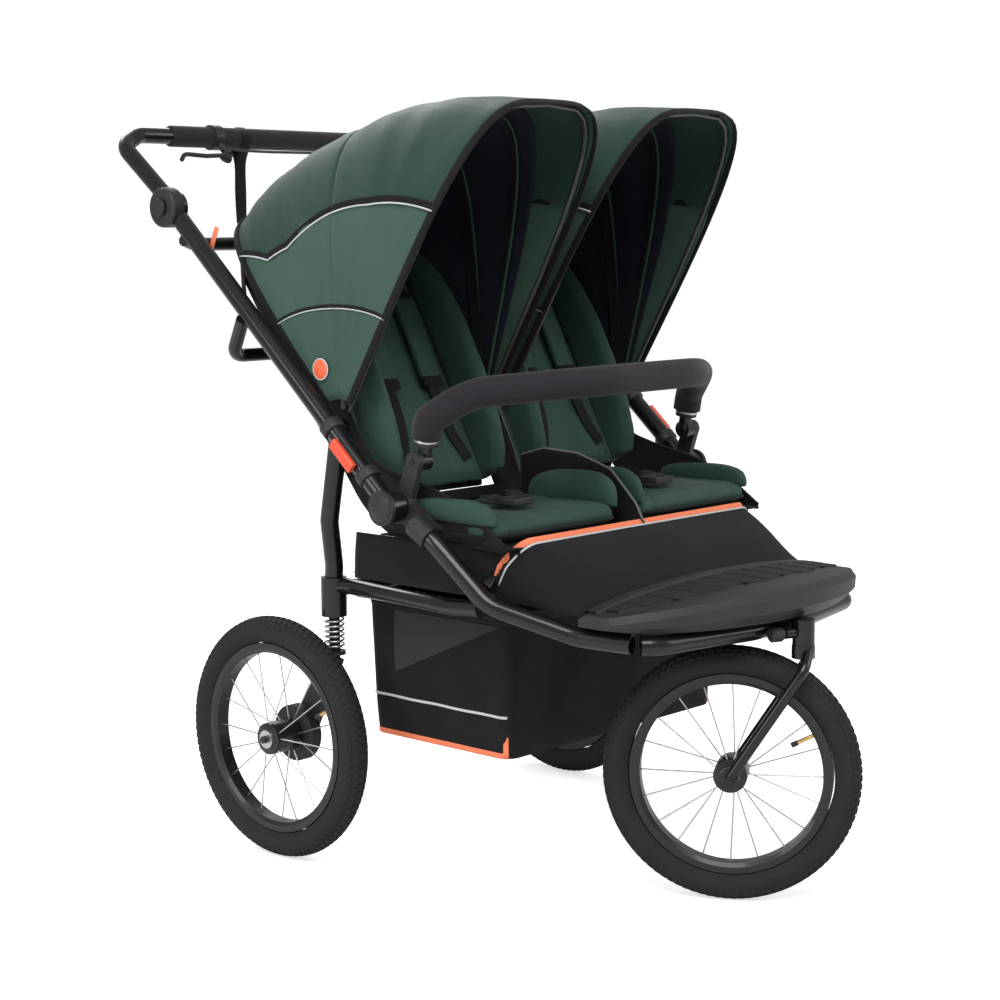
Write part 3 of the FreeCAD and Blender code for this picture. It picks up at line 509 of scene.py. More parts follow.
def surface(name, rows, around=False):
    """A mesh through rows of points, with a cloth map in metres along its two ways.

    Faces point to the left of the rows' direction. around joins each row's end to its start.
    """
    grid = np.array([[list(point) for point in row] for row in rows], float)
    count, length = grid.shape[:2]
    span = length if around else length - 1
    mesh = bpy.data.meshes.new(name)
    faces = [(i * length + j, i * length + (j + 1) % length,
              (i + 1) * length + (j + 1) % length, (i + 1) * length + j)
             for i in range(count - 1) for j in range(span)]
    mesh.from_pydata(grid.reshape(-1, 3).tolist(), [], faces)
    looped = np.concatenate([grid, grid[:, :1]], 1)
    steps = np.linalg.norm(np.diff(looped, axis=1), axis=2)
    across = np.concatenate([np.zeros((count, 1)), np.cumsum(steps, 1)], 1)
    climb = np.linalg.norm(np.diff(grid, axis=0), axis=2).mean(1)
    upward = np.concatenate([[0], np.cumsum(climb)])
    cloth = mesh.uv_layers.new(name="cloth")
    places = [(across[r, c], upward[r]) for i in range(count - 1) for j in range(span)
              for r, c in ((i, j), (i, j + 1), (i + 1, j + 1), (i + 1, j))]
    cloth.data.foreach_set("uv", np.array(places, np.float32).ravel())
    piece = bpy.data.objects.new(name, mesh)
    bpy.context.scene.collection.objects.link(piece)
    mesh.shade_smooth()
    return piece


def capped(tube):
    """Closes both ends of a lofted tube."""
    ends = bmesh.new()
    ends.from_mesh(tube.data)
    bmesh.ops.holes_fill(ends, edges=[e for e in ends.edges if e.is_boundary])
    bmesh.ops.recalc_face_normals(ends, faces=ends.faces)
    ends.to_mesh(tube.data)
    ends.free()
    return tube


def swell(value, power):
    """The value's size raised to a power, with its own sign: it squares a round outline."""
    return abs(value) ** power * (1 if value > 0 else -1)


def ring_angles(count, start=0.0):
    """Evenly spaced turns about a ring, as the cosine and sine of each."""
    turns = [2 * pi * (c + start) / count for c in range(count)]
    return [(cos(turn), sin(turn)) for turn in turns]


def band(name, line, facing, width, thick, corners=12, square=0.5):
    """A closed sewn band or cord along a line: width is square to the line and its facing.

    facing is one direction, or one for each point. square is 1 for a round section.
    """
    line = [Vector(point) for point in line]
    facings = facing if isinstance(facing, list) else [facing] * len(line)
    rings = []
    for k, point in enumerate(line):
        along = (line[min(k + 1, len(line) - 1)] - line[max(k - 1, 0)]).normalized()
        side = along.cross(Vector(facings[k])).normalized()
        up = side.cross(along)
        rings.append([point + side * swell(out, square) * width / 2
                      + up * swell(lift, square) * thick / 2
                      for out, lift in ring_angles(corners, 0.5)])
    return capped(surface(name, rings, around=True))


def sew(name, paint, body, slot, *shape, **form):
    """A finished band that rides on one body."""
    piece = settle(band(name, *shape, **form), name, paint, body)
    return piece


def smooth_line(points, count=24, closed=False):
    """A smooth run of points through the given ones."""
    pts = [Vector(p) for p in points]
    if closed:
        pts = [pts[-1]] + pts + [pts[0], pts[1]]
    else:
        pts = [pts[0] * 2 - pts[1]] + pts + [pts[-1] * 2 - pts[-2]]
    line = []
    spans = len(pts) - 3
    for k in range(count + 1):
        at = min(k / count * spans, spans - 1e-6)
        i, t = int(at), at - int(at)
        a, b, c, d = pts[i:i + 4]
        line.append(0.5 * (2 * b + (c - a) * t + (2 * a - 5 * b + 4 * c - d) * t ** 2
                           + (3 * b - a - 3 * c + d) * t ** 3))
    return line[:-1] if closed else line


def as_sheet(piece, width, held, rests_on, *with_pieces, thick=0.0012):
    area = sum(face.area for face in piece.data.polygons)
    wall = piece.modifiers.new("wall", "SOLIDIFY")
    wall.thickness = thick
    wall.offset = 0
    pick(piece)
    bpy.ops.object.modifier_apply(modifier="wall")
    return (piece, area / width)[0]


def cloth_sheet(name, rows, body, width, held, *rests_on, thick=0.0012, stands_for=()):
    """One black cloth through rows of points, thickened into a sheet."""
    piece = settle(surface(name, rows), name, black_paint, body, *stands_for)
    as_sheet(piece, width, held, list(rests_on), thick=thick)


# Footplate: one polypropylene moulding with a raised back band, and a soft black step pad
# with a wavy front edge and eleven ribs let into its top.
plate_paint = Paint("moulded_plate", Specular_IOR_Level=0.28)
grain = plate_paint.place.cloud(1100, 3)
scuff = plate_paint.place.cloud(16, 5)
plate_paint.worn(scuff, (0.015, 0.015, 0.016), (0.032, 0.032, 0.034), 0.42, 0.2)
plate_paint.relief(grain + scuff * 0.5, 0.00025)
coat(plate_paint, "footplate")
pad_paint = Paint("step_pad_rubber", Specular_IOR_Level=0.3)
scuff = pad_paint.place.cloud(25, 4)
pad_paint.worn(scuff, (0.008, 0.008, 0.008), (0.02, 0.02, 0.021), 0.6, 0.2)
pad_paint.relief(pad_paint.place.cloud(900, 2), 0.0003)
plate_half = 0.304


def plate_top(x, lift=0.0):
    """The height of the footplate's top at x."""
    share = abs(x) / plate_half
    return 0.476 + 0.02 * (1 - share ** 2) - 0.005 * share ** 8 + lift


def plate_front(x):
    """How far forward the footplate reaches at x."""
    share = abs(x) / plate_half
    return -0.452 - 0.108 * (1 - share ** 2) + 0.026 * share ** 8


def plate_inlay(name, paint, half, back, front, high):
    """A thin raised inlay on the plate's top between two edges, each a function of x."""
    rows = []
    for k in range(65):
        x = half * (k / 32 - 1)
        edge = [(back(x), -0.002), (back(x) - 0.001, high * 0.75), (back(x) - 0.004, high)]
        face = [(back(x) - 0.004 + (front(x) - back(x) + 0.008) * s, high)
                for s in (0.25, 0.5, 0.75, 1)]
        rim = [(front(x) + 0.001, high * 0.75), (front(x), -0.002)]
        rows.append([(x, y, plate_top(x, lift)) for y, lift in edge + face + rim])
    settle(surface(name, rows), name, paint, "chassis")


plate_inlay("plate_back_band", plate_paint, 0.296, lambda x: -0.368, lambda x: -0.392, 0.003)
plate_inlay("plate_step_pad", pad_paint, 0.282, lambda x: -0.396,
            lambda x: -0.412 + (plate_front(x) + 0.43) * 0.55 - 0.006 * cos(x * 52), 0.0022)
for number in range(11):
    x = 0.048 * (number - 5)
    back, front = -0.402, -0.418 + (plate_front(x) + 0.43) * 0.5
    line = [(x, back + (front - back) * k / 8, plate_top(x, 0.0024)) for k in range(9)]
    sew(f"step_rib_{number}", pad_paint, "chassis", "plate_plastic", line, (0, 0, 1), 0.007,
        0.0022)

# Leg panel: black coated polyester from the seats' front edge down to the footplate, its
# top corners wrapped round the side tubes, bound with orange tape and a thin white line.


def panel_edge(u):
    """The top edge of the leg panel, from one side tube over the seats' front to the other."""
    side = 1 if u > 0 else -1
    s = abs(u)
    corner = max(0, (s - 0.8) / 0.2)
    x = side * (0.306 * min(1, s / 0.93) if s < 0.93 else 0.306 + 0.004 * (s - 0.93))
    return Vector((x, -0.236 + 0.052 * corner ** 1.6, 0.561 - 0.088 * corner ** 2.1))


def panel_foot(u):
    """The bottom edge of the leg panel, tucked in at the back of the footplate."""
    return Vector((0.298 * u, -0.363, plate_top(0.298 * u) - 0.006))


panel_rows = []
for i in range(19):
    v = i / 18
    row = []
    for j in range(81):
        u = j / 40 - 1
        top, foot = panel_edge(u), panel_foot(u)
        point = top.lerp(foot, v)
        belly = sin(pi * v) * (1 - abs(u) ** 6)
        point += Vector((0, -0.006, 0.009)) * belly
        point.z += 0.0022 * sin(u * 9 + v * 3) * sin(pi * v) * (1 - abs(u) ** 4)
        row.append(point)
    panel_rows.append(row)
leg_panel = surface("leg_panel_cloth", panel_rows)
settle(leg_panel, "leg_panel_cloth", black_paint, "chassis", "leg_panel")
edge_line = [panel_edge(k / 60 - 1) + Vector((0, -0.001, 0.0015)) for k in range(121)]
forward_up = (0, -0.75, 0.66)
tape = sew("leg_panel_tape", orange_paint, "chassis", "fabric_black",
           edge_line, forward_up, 0.011, 0.0034)
white_line = [panel_edge(k / 60 - 1).lerp(panel_foot(k / 60 - 1), 0.055)
              + Vector((0, -0.0026, 0.003)) for k in range(1, 120)]
piping = sew("leg_panel_piping", silver_paint, "chassis", "fabric_black",
             white_line, forward_up, 0.0034, 0.0026, square=1)
as_sheet(leg_panel, 0.61, "stretched", ["front_cross_tube", "cross_tubes"], tape, piping)

# Hoods: each is one sheet of green polyester over a middle and a front sprung bow, bound
# in black all round. A darker roof meets a lighter side at a black seam with silver piping,
# a second seam crosses the side lower down, and a navy lining stops short of the visor.
hood_y, hood_z, hood_foot = 0.088, 0.724, 0.040
hood_half = 0.168
bow_angles = rear_angle, mid_angle, front_angle = (46, 86, 121)
bow_reaches = (0.452, 0.468, 0.575)


def hood_reach(angle):
    """How far the cloth stands from the pivot: straight between bows, with a little sag."""
    i = 0 if angle <= bow_angles[1] else 1
    share = (angle - bow_angles[i]) / (bow_angles[i + 1] - bow_angles[i])
    flat = bow_reaches[i] + (bow_reaches[i + 1] - bow_reaches[i]) * share
    return flat - 0.007 * sin(pi * share)


def hood_way(angle):
    """The direction out from the pivot at an angle."""
    return Vector((0, cos(radians(angle)), sin(radians(angle))))


def hood_spot(middle, out, angle):
    """The place on a hood's middle plane at a distance out from the pivot."""
    return Vector((middle, hood_y, hood_z)) + out * hood_way(angle)


def hood_out(x_share, angle, lift=0.0):
    """How far out the cloth is where it is x_share of the way from the middle to a side."""
    edge = max(0.0, 1 - abs(x_share) ** 4) ** 0.25
    return hood_foot + (hood_reach(angle) + lift - hood_foot) * edge


def hood_side(out, angle):
    """How far to the side the cloth is at a distance out from the pivot."""
    share = min(1.0, max(0.0, (out - hood_foot) / (hood_reach(angle) - hood_foot)))
    return (1 - share ** 4) ** 0.25


def hood_arch(middle, angle, lift=0.0, count=72):
    """One line of the hood at an angle, evenly spaced from its left foot to its right."""
    way = hood_way(angle)
    fine = []
    for k in range(401):
        turn = pi * k / 400
        side = abs(cos(turn)) ** 0.5 * (1 if turn < pi / 2 else -1)
        out = hood_foot + max(0.0, sin(turn)) ** 0.5 * (hood_reach(angle) + lift - hood_foot)
        fine.append(Vector((middle + side * (hood_half + lift), hood_y, hood_z)) + way * out)
    runs = np.concatenate([[0], np.cumsum([(b - a).length for a, b in zip(fine, fine[1:])])])
    wanted = np.linspace(0, runs[-1], count + 1)
    grid = np.array([list(p) for p in fine])
    return [Vector([np.interp(w, runs, grid[:, axis]) for axis in range(3)]) for w in wanted]


def hood_place(middle, side, out, angle, lift=0.0):
    """A point on the side of a hood, out from the pivot at an angle."""
    way = hood_way(angle)
    across = hood_side(out, angle) * hood_half + lift
    return Vector((middle + side * across, hood_y, hood_z)) + way * out


def roof_seam(angle):
    """How far out the roof's seam lies on the hood's side, at an angle."""
    return float(np.interp(angle, (46, 56, 66, 85, 100, 121),
                           (0.366, 0.312, 0.306, 0.334, 0.352, 0.392)))


def side_seam(angle):
    """How far out the lower seam lies on the hood's side, at an angle."""
    straight = float(np.interp(angle, (rear_angle, front_angle), (0.213, 0.198)))
    return straight - 0.02 * sin(pi * (angle - rear_angle) / (front_angle - rear_angle))


def creased(point, middle, lift):
    """The point of the cloth with soft creases that run out from the pivot."""
    away = point - Vector((point.x, hood_y, hood_z))
    angle = atan2(away.z, away.y)
    out = Vector((point.x - middle, away.y * 0.6, away.z * 0.6)).normalized()
    fold = noise.noise(Vector((angle * 9, away.length * 5, point.x * 3)))
    ripple = noise.noise(Vector((angle * 26, away.length * 14, point.x * 9)))
    share = min(1, (away.length - hood_foot) / 0.15)
    return point + out * (fold * 0.0035 + ripple * 0.0014) * max(0, share) + out * lift


hood_paint = fabric("hood_polyester", (0.035, 0.07, 0.052), (0.06, 0.108, 0.082), 0.36,
                    sheen=0.12)
roof_mask = Shade(hood_paint.tree).node("Attribute", {"attribute_name": "roof"}, {}, 2)
tone = hood_paint.place.cloud(6, 3)
side_green = tone.colour((0.03, 0.066, 0.049), (0.055, 0.104, 0.079))
roof_green = tone.colour((0.011, 0.032, 0.024), (0.022, 0.054, 0.042))
hood_paint.feed("Base Color", roof_mask.colour(side_green, roof_green))

badge_paint = Paint("orange_badge", Coat_Weight=0.3)
tone = badge_paint.place.cloud(60, 3)
badge_paint.worn(tone, (0.7, 0.1, 0.03), (0.82, 0.16, 0.06), 0.34, 0.14)
badge_paint.relief(tone, 0.0001)



def turned(name, paint, body, radius, depth, place, rotation, edge, segments=3, smooth=35,
           stands_for=()):
    """A short cylinder with rounded edges, such as a badge or a collar."""
    deselect()
    bpy.ops.mesh.primitive_cylinder_add(vertices=48, radius=radius, depth=depth, location=place,
                                        rotation=rotation)
    piece = bpy.context.object
    soften(piece, edge, segments)
    settle(piece, name, paint, body, *stands_for)
    bpy.ops.object.shade_smooth_by_angle(angle=radians(smooth))
    return piece


hood_x = 0.183
for side, sign in (("left", 1), ("right", -1)):
    middle = sign * hood_x
    parts = (("rear", rear_angle, mid_angle, "upper_frame", "canopy_mid_" + side,
              ["hood_rear_" + side]),
             ("front", mid_angle, front_angle, "canopy_mid_" + side, "canopy_front_" + side,
              ["hood_mid_" + side, "hood_front_" + side]))
    for part, low, high, held_by, carried_by, stands_for in parts:
        start, end = hood_spot(middle, 0.3, low), hood_spot(middle, 0.3, high)
        steps = 26
        angles = [low + (high - low) * k / steps for k in range(steps + 1)]
        rows = []
        for angle in angles:
            edge = min(angle - low, high - angle) / 6
            rows.append([creased(p, middle, -0.001 * max(0, 1 - edge))
                         for p in hood_arch(middle, angle)])
        cloth = surface(f"hood_{part}_cloth_{side}", rows)
        roof = cloth.data.attributes.new("roof", "FLOAT", "POINT")
        values = []
        for angle in angles:
            for point in hood_arch(middle, angle):
                out = hypot(point.y - hood_y, point.z - hood_z)
                values.append(1.0 if out > roof_seam(angle) else 0.0)
        roof.data.foreach_set("value", values)
        settle(cloth, cloth.name, hood_paint, None, *stands_for)
        trims = []
        for other in (1, -1):
            places = [low + (high - low) * k / 24 for k in range(25)]
            roof_line = [hood_place(middle, other, roof_seam(a), a, 0.0012) for a in places]
            roof_cord = [hood_place(middle, other, roof_seam(a) - 0.006, a, 0.0026)
                         for a in places]
            side_line = [hood_place(middle, other, side_seam(a), a, 0.001) for a in places]
            side_cord = [point + Vector((other * 0.0008, 0, -0.0036)) for point in side_line]
            for kind, line, width, thick, square in (
                    ("roof_seam", roof_line, 0.011, 0.0022, 0.5),
                    ("roof_piping", roof_cord, 0.0028, 0.0028, 1),
                    ("side_seam", side_line, 0.006, 0.002, 0.5),
                    ("side_piping", side_cord, 0.002, 0.002, 1)):
                trims.append(band(f"{kind}_{part}_{side}_{other + 1}", line, (other, 0, 0),
                                  width, thick, square=square))
        inner, outer = (46.5, mid_angle) if part == "rear" else (mid_angle, 108)
        lining_rows = []
        for k in range(21):
            angle = inner + (outer - inner) * k / 20
            lining_rows.append([creased(p, middle, -0.0045)
                                for p in hood_arch(middle, angle, -0.0012, 60)])
        lining = surface(f"hood_{part}_lining_{side}", lining_rows)
        settle(lining, lining.name, lining_paint, None)
        for trim in trims:
            name = trim.name
            settle(trim, name, silver_paint if "piping" in name else black_paint, None)
        bound = low if part == "rear" else high
        arch = hood_arch(middle, bound, 0.0005)
        centre = hood_spot(middle, 0.25, bound)
        sew(f"hood_{part}_binding_{side}", black_paint,
            carried_by if part == "front" else held_by, "fabric_black", arch,
            [p - centre for p in arch], 0.013, 0.0045)
        as_sheet(cloth, 0.9, "stretched", ["hood_bow_mid_" + side], *trims)
        as_sheet(lining, 0.88, "stretched", ["hood_bow_mid_" + side])
        for piece in [cloth, lining] + trims:
            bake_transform(piece)

    # sleeves that hold the bows inside the hood: black bands with a green edge
    for part, angle, body in (("mid", mid_angle, "canopy_mid_"), ("half", 103, "canopy_front_")):
        arch = hood_arch(middle, angle, -0.0125 if part == "half" else -0.0145)
        centre = hood_spot(middle, 0.25, angle)
        facing = [(p - centre) for p in arch]
        wide = 0.02 if part == "mid" else 0.008
        sew(f"bow_sleeve_{part}_{side}", black_paint, body + side, "fabric_black", arch, facing,
            wide, 0.002)
        arch = [p + Vector((0, -0.0015, 0))
                for p in hood_arch(middle, angle + wide * 60 + 0.6, -0.0135)]
        sew(f"bow_edge_{part}_{side}", green_paint, body + side, "fabric_green", arch, facing,
            0.0045, 0.003)

    # rear drop behind the children's heads, sewn to the hood's rear edge
    drop_rows = []
    for k in range(9):
        row = []
        for j in range(33):
            x = middle + 0.15 * (j / 16 - 1)
            top = hood_out((x - middle) / hood_half, rear_angle) - 0.004
            y = hood_y + top * cos(radians(rear_angle))
            z = hood_z + top * sin(radians(rear_angle))
            hang = k / 8
            row.append((x, y - 0.004 - 0.006 * hang + 0.0016 * sin(j * 0.7) * hang,
                        z - 0.09 * hang))
        drop_rows.append(row)
    cloth_sheet("hood_drop_" + side, drop_rows, "upper_frame", 0.3, "hung",
                "hood_rear_cloth_" + side)

    # round orange badge on the outer side of each hood
    spot = hood_place(middle, sign, 0.094, 65, 0.0042)
    turned("hood_badge_" + side, badge_paint, "upper_frame", 0.0155, 0.0022, spot,
           (0, pi / 2, 0), 0.0009)
    deselect()
    bpy.ops.mesh.primitive_torus_add(major_radius=0.0165, minor_radius=0.0011, major_segments=48,
                                     minor_segments=10, location=spot, rotation=(0, pi / 2, 0))
    rim = settle(bpy.context.object, "badge_rim_" + side, silver_paint, "upper_frame")
    bpy.ops.object.shade_smooth()

# Seats: stuffed cushions in green polyester. Each seat has a pad, two thigh bolsters, and a
# back with sewn upright channels, a rounded head and two side wings, over a black shell.
padded_paint = Paint("padded_green_polyester", Sheen_Weight=0.08, Sheen_Roughness=0.45,
                     Specular_IOR_Level=0.16)
thread_rate = 5200  # radians a metre
x, y, z = (padded_paint.place.node("SeparateXYZ", {}, {0: padded_paint.place}, k) for k in range(3))
warp = x.maths("SINE", x * thread_rate)
weft = x.maths("SINE", (y * 0.75 + z * 0.75) * thread_rate)
threads = warp * weft * 0.5 + 0.5
tone = padded_paint.place.cloud(8, 3)
crease = padded_paint.place.cloud(48, 3)
padded_paint.feed("Base Color", (tone * 0.75 + threads * 0.25).colour((0.014, 0.04, 0.03),
                                                                      (0.036, 0.08, 0.06)))
padded_paint.feed("Roughness", 0.44 + crease * 0.18)
padded_paint.relief(threads * 0.2 + crease, 0.0014, 0.6)
shade_paint = Paint("padded_dark_polyester", Sheen_Weight=0.04, Sheen_Roughness=0.45,
                    Specular_IOR_Level=0.16)
tone = shade_paint.place.cloud(9, 3)
crease = shade_paint.place.cloud(44, 3)
shade_paint.feed("Base Color", tone.colour((0.007, 0.008, 0.01), (0.015, 0.016, 0.019)))
shade_paint.feed("Roughness", 0.55 + crease * 0.18)
shade_paint.relief(crease + shade_paint.place.cloud(1500, 1) * 0.3, 0.0012, 0.6)


def stuffed(piece, cap, voxel=0.006):
    """Swells a slightly small closed form as stuffing does: cloth under air pressure."""
    pick(piece)
    remesh = piece.modifiers.new("remesh", "REMESH")
    remesh.mode = "VOXEL"
    remesh.voxel_size = voxel
    bpy.ops.object.modifier_apply(modifier="remesh")
    before = np.array([corner.co for corner in piece.data.vertices])
    stuffing = piece.modifiers.new("stuffing", "CLOTH")
    stuffing.settings.use_pressure = True
    stuffing.settings.uniform_pressure_force = 4
    stuffing.settings.effector_weights.gravity = 0
    for step in range(1, 21):
        bpy.context.scene.frame_set(step)
    bpy.ops.object.modifier_apply(modifier="stuffing")
    bpy.context.scene.frame_set(1)
    after = np.array([corner.co for corner in piece.data.vertices])
    shift = after - before
    length = np.maximum(np.linalg.norm(shift, axis=1, keepdims=True), 1e-9)
    after = before + shift * np.minimum(1, cap / length)
    piece.data.vertices.foreach_set("co", after.ravel())
    piece.data.update()
    return piece


def stitched(piece, valley=None, depth=0.0):
    """Draws the cover in along its seams, where valley is 1 on a seam, and smooths it."""
    if valley:
        normals = [corner.normal.copy() for corner in piece.data.vertices]
        for corner, normal in zip(piece.data.vertices, normals):
            corner.co -= normal * depth * valley(corner.co)
    smooth = piece.modifiers.new("smooth", "SUBSURF")
    smooth.levels = 1
    smooth.render_levels = 1
    return piece


def block(size, place, rounding, segments=4):
    """A box with rounded edges, the start of a cushion."""
    deselect()
    bpy.ops.mesh.primitive_cube_add(size=1, location=place)
    box = bpy.context.object
    box.scale = size
    bpy.ops.object.transform_apply(location=False, rotation=False, scale=True)
    soften(box, rounding, segments)
    bpy.ops.object.modifier_apply(modifier="edge")
    bpy.ops.object.transform_apply(location=True, rotation=False, scale=False)
    return box


def groove(distance, width):
    """How deep a seam's groove is at a distance from it, from 1 to 0."""
    return float(np.exp(-(distance / width) ** 2))


seat_x, back_x = 0.176, 0.170
back_foot, back_lean = (0, 0.035, 0.612), radians(62)
back_turn = Matrix.Translation(back_foot) @ Matrix.Rotation(back_lean, 4, "X")


def back_outline(s):
    """Half the width of the back cushion at a height s up the back."""
    if s < 0.3:
        return 0.116
    rise = (s - 0.3) / 0.152
    return 0.116 * max(0.0, 1 - rise ** 2.4) ** 0.5


for side, sign in (("left", 1), ("right", -1)):
    middle = sign * seat_x
    pad = block((0.298, 0.238, 0.03), (middle, -0.094, 0.5765), 0.0145)
    stuffed(pad, 0.005)
    panel_half, seam = 0.107, 0.0045
    stitched(pad, lambda co: groove(abs(abs(co.x - middle) - panel_half), seam)
             + groove(abs(co.y + 0.182), seam) * (abs(co.x - middle) < panel_half)
             + groove(abs(co.y + 0.02), seam) * (abs(co.x - middle) < panel_half), 0.0035)
    settle(pad, "seat_cushion_" + side, padded_paint, "chassis", "seat_pad_" + side)
    outline = [(middle + swell(out, 0.3) * 0.1545, -0.094 + swell(up, 0.3) * 0.1245, 0.5705)
               for out, up in ring_angles(64)]
    outline.append(outline[0])
    sew("cushion_piping_" + side, black_paint, "chassis", "fabric_black", outline, (0, 0, 1),
        0.005, 0.005, square=1)

    back_middle = sign * back_x
    for name, at, high in (("inner", sign * 0.033, 0.05), ("outer", sign * 0.318, 0.03)):
        rows = []
        for k in range(27):
            run = -1 + 2 * k / 26
            full = max(0.0, 1 - abs(run) ** 3) ** 0.5
            top = 0.592 + high * (0.25 + 0.75 * full) * (1 - 0.12 * run)
            ring = []
            for out, lift in ring_angles(24):
                rise = 0.5 + 0.5 * swell(lift, 0.6)
                ring.append((at + swell(out, 0.8) * 0.0115 * (0.35 + 0.65 * full),
                             -0.118 + 0.094 * run, 0.585 + (top - 0.585) * rise))
            rows.append(ring)
        bolster = capped(surface("bolster", rows, around=True))
        stuffed(bolster, 0.003, 0.0045)
        stitched(bolster)
        settle(bolster, f"thigh_bolster_{name}_{side}", padded_paint, "chassis")

    shell = block((0.252, 0.458, 0.013), (0, 0.232, -0.0345), 0.006)
    shell.data.transform(Matrix.Translation((back_middle, 0, 0)) @ back_turn)
    stuffed(shell, 0.003)
    stitched(shell)
    settle(shell, "back_shell_" + side, shade_paint, "seat_back_" + side, "seat_back_" + side)

    rows = []
    for k in range(31):
        s = 0.004 + 0.446 * k / 30
        half = max(0.012, back_outline(s) - 0.004)
        thick = 0.0085 if 0 < k < 30 else 0.003
        rows.append([(swell(out, 0.5) * half, s, -0.014 + swell(lift, 0.6) * thick)
                     for out, lift in ring_angles(28)])
    back = capped(surface("back_cushion", rows, around=True))
    stuffed(back, 0.0045)
    seam = 0.0042
    stitched(back, lambda co: groove(abs(abs(co.x) - 0.034), seam)
             + groove(abs(abs(co.x) - 0.074), seam) + groove(co.y - 0.325, seam), 0.0036)
    back.data.transform(Matrix.Translation((back_middle, 0, 0)) @ back_turn)
    settle(back, "back_cushion_" + side, padded_paint, "seat_back_" + side)

    for name, at in (("inner", -sign * 0.118), ("outer", sign * 0.118)):
        up_back = (0.01, 0.04, 0.1, 0.18, 0.26, 0.33, 0.38, 0.415, 0.43)
        forward = (0.03, 0.05, 0.064, 0.07, 0.07, 0.061, 0.046, 0.026, 0.0)
        rows = []
        for k in range(33):
            s = 0.01 + 0.42 * k / 32
            front = float(np.interp(s, up_back, forward))
            ring = []
            for out, lift in ring_angles(20):
                rise = 0.5 + 0.5 * swell(lift, 0.7)
                ring.append((at + out * (0.009 + 0.003 * rise), s,
                             -0.031 + (front + 0.031) * rise))
            rows.append(ring)
        wing = capped(surface("wing", rows, around=True))
        wing.data.transform(Matrix.Translation((back_middle, 0, 0)) @ back_turn)
        stuffed(wing, 0.003, 0.005)
        stitched(wing)
        settle(wing, f"back_wing_{name}_{side}", padded_paint, "seat_back_" + side)
        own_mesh(wing)

# Harness: black webbing with green shoulder pads on each back, and a crotch strap with a
# moulded buckle that lies on the pad.
for side, sign in (("left", 1), ("right", -1)):
    back_middle = sign * back_x
    on_back = Matrix.Translation((back_middle, 0, 0)) @ back_turn
    facing = on_back.to_3x3() @ Vector((0, 0, 1))
    for number, x in enumerate((-0.05, 0.05)):
        web = smooth_line([(x * 0.9, 0.36, -0.004), (x, 0.33, 0.004), (x, 0.18, 0.006),
                           (x * 1.1, 0.1, 0.004), (x * 1.5, 0.045, 0.0)], 30)
        web = [on_back @ point for point in web]
        sew(f"harness_web_{side}_{number}", webbing_paint, "seat_back_" + side, "fabric_black",
            web, facing, 0.024, 0.0022)
        pad_line = smooth_line([(x, 0.335, 0.008), (x, 0.26, 0.0095), (x, 0.19, 0.008)], 24)
        pad = band("shoulder_pad", [on_back @ point for point in pad_line], facing, 0.043, 0.014,
                   corners=24, square=0.62)
        settle(pad, f"shoulder_pad_{side}_{number}", padded_paint, "seat_back_" + side)
        for end, s in enumerate((0.34, 0.182)):
            tip_line = [on_back @ Vector((x, s + 0.008 - 0.004 * k, 0.0085)) for k in range(5)]
            sew(f"shoulder_tip_{side}_{number}_{end}", black_paint, "seat_back_" + side,
                "fabric_black", tip_line, facing, 0.045, 0.0155, square=0.55)
    middle = sign * seat_x
    strap = smooth_line([(middle, -0.03, 0.599), (middle, -0.055, 0.606),
                         (middle - 0.012, -0.1, 0.6055), (middle - 0.03, -0.135, 0.606)], 28)
    sew("crotch_strap_" + side, webbing_paint, "chassis", "fabric_black", strap, (0, 0, 1), 0.026,
        0.0026)
    for number, x in enumerate((-0.1, 0.1)):
        hip = smooth_line([(middle + x, 0.0, 0.6), (middle + x * 0.8, -0.04, 0.6055),
                           (middle + x * 0.42 - 0.01, -0.11, 0.6062),
                           (middle - 0.03 + x * 0.2, -0.142, 0.608)], 28)
        sew(f"hip_strap_{side}_{number}", webbing_paint, "chassis", "fabric_black", hip,
            (0, 0, 1), 0.023, 0.0022)
    deselect()
    bpy.ops.mesh.primitive_cube_add(size=1, location=(middle - 0.032, -0.15, 0.611))
    buckle = bpy.context.object
    buckle.scale = (0.045, 0.04, 0.011)
    bpy.ops.object.transform_apply(location=False, rotation=False, scale=True)
    choose(buckle, "FACE", lambda face: face.normal.z > 0.9)
    sink(0.009, 0.0022)
    bpy.ops.object.mode_set(mode="OBJECT")
    soften(buckle, 0.0028, 3)
    settle(buckle, "buckle_" + side, nylon_paint, "chassis")
    bpy.ops.object.shade_smooth_by_angle(angle=radians(40))

# Seat body: black polyester round the cushions. A piped web divides the seats and a strip
# their backs, a deck, a hull and a valance close the seats below and behind, and each side
# has a skirt along its rail, a hemmed wall beside the back, and an orange pull tab above.
web_rows = []
for i in range(15):
    row = []
    for j in range(45):
        y = -0.243 + 0.268 * j / 44
        top = float(np.interp(y, (-0.243, -0.225, -0.17, -0.1, -0.03, 0.025),
                              (0.562, 0.592, 0.642, 0.664, 0.667, 0.652)))
        row.append((0.0022 * sin(y * 30) * i / 14, y, 0.5565 + (top - 0.5565) * i / 14))
    web_rows.append(row)
divider = surface("seat_divider", web_rows)
settle(divider, "seat_divider", black_paint, "chassis")
ridge = smooth_line(web_rows[-1], 60)
ridge_piping = sew("divider_piping", grey_paint, "chassis", "fabric_black", ridge, (1, 0, 0),
                   0.0038, 0.0038, square=1)
as_sheet(divider, 0.11, "stretched", ["seat_deck"], ridge_piping, thick=0.003)

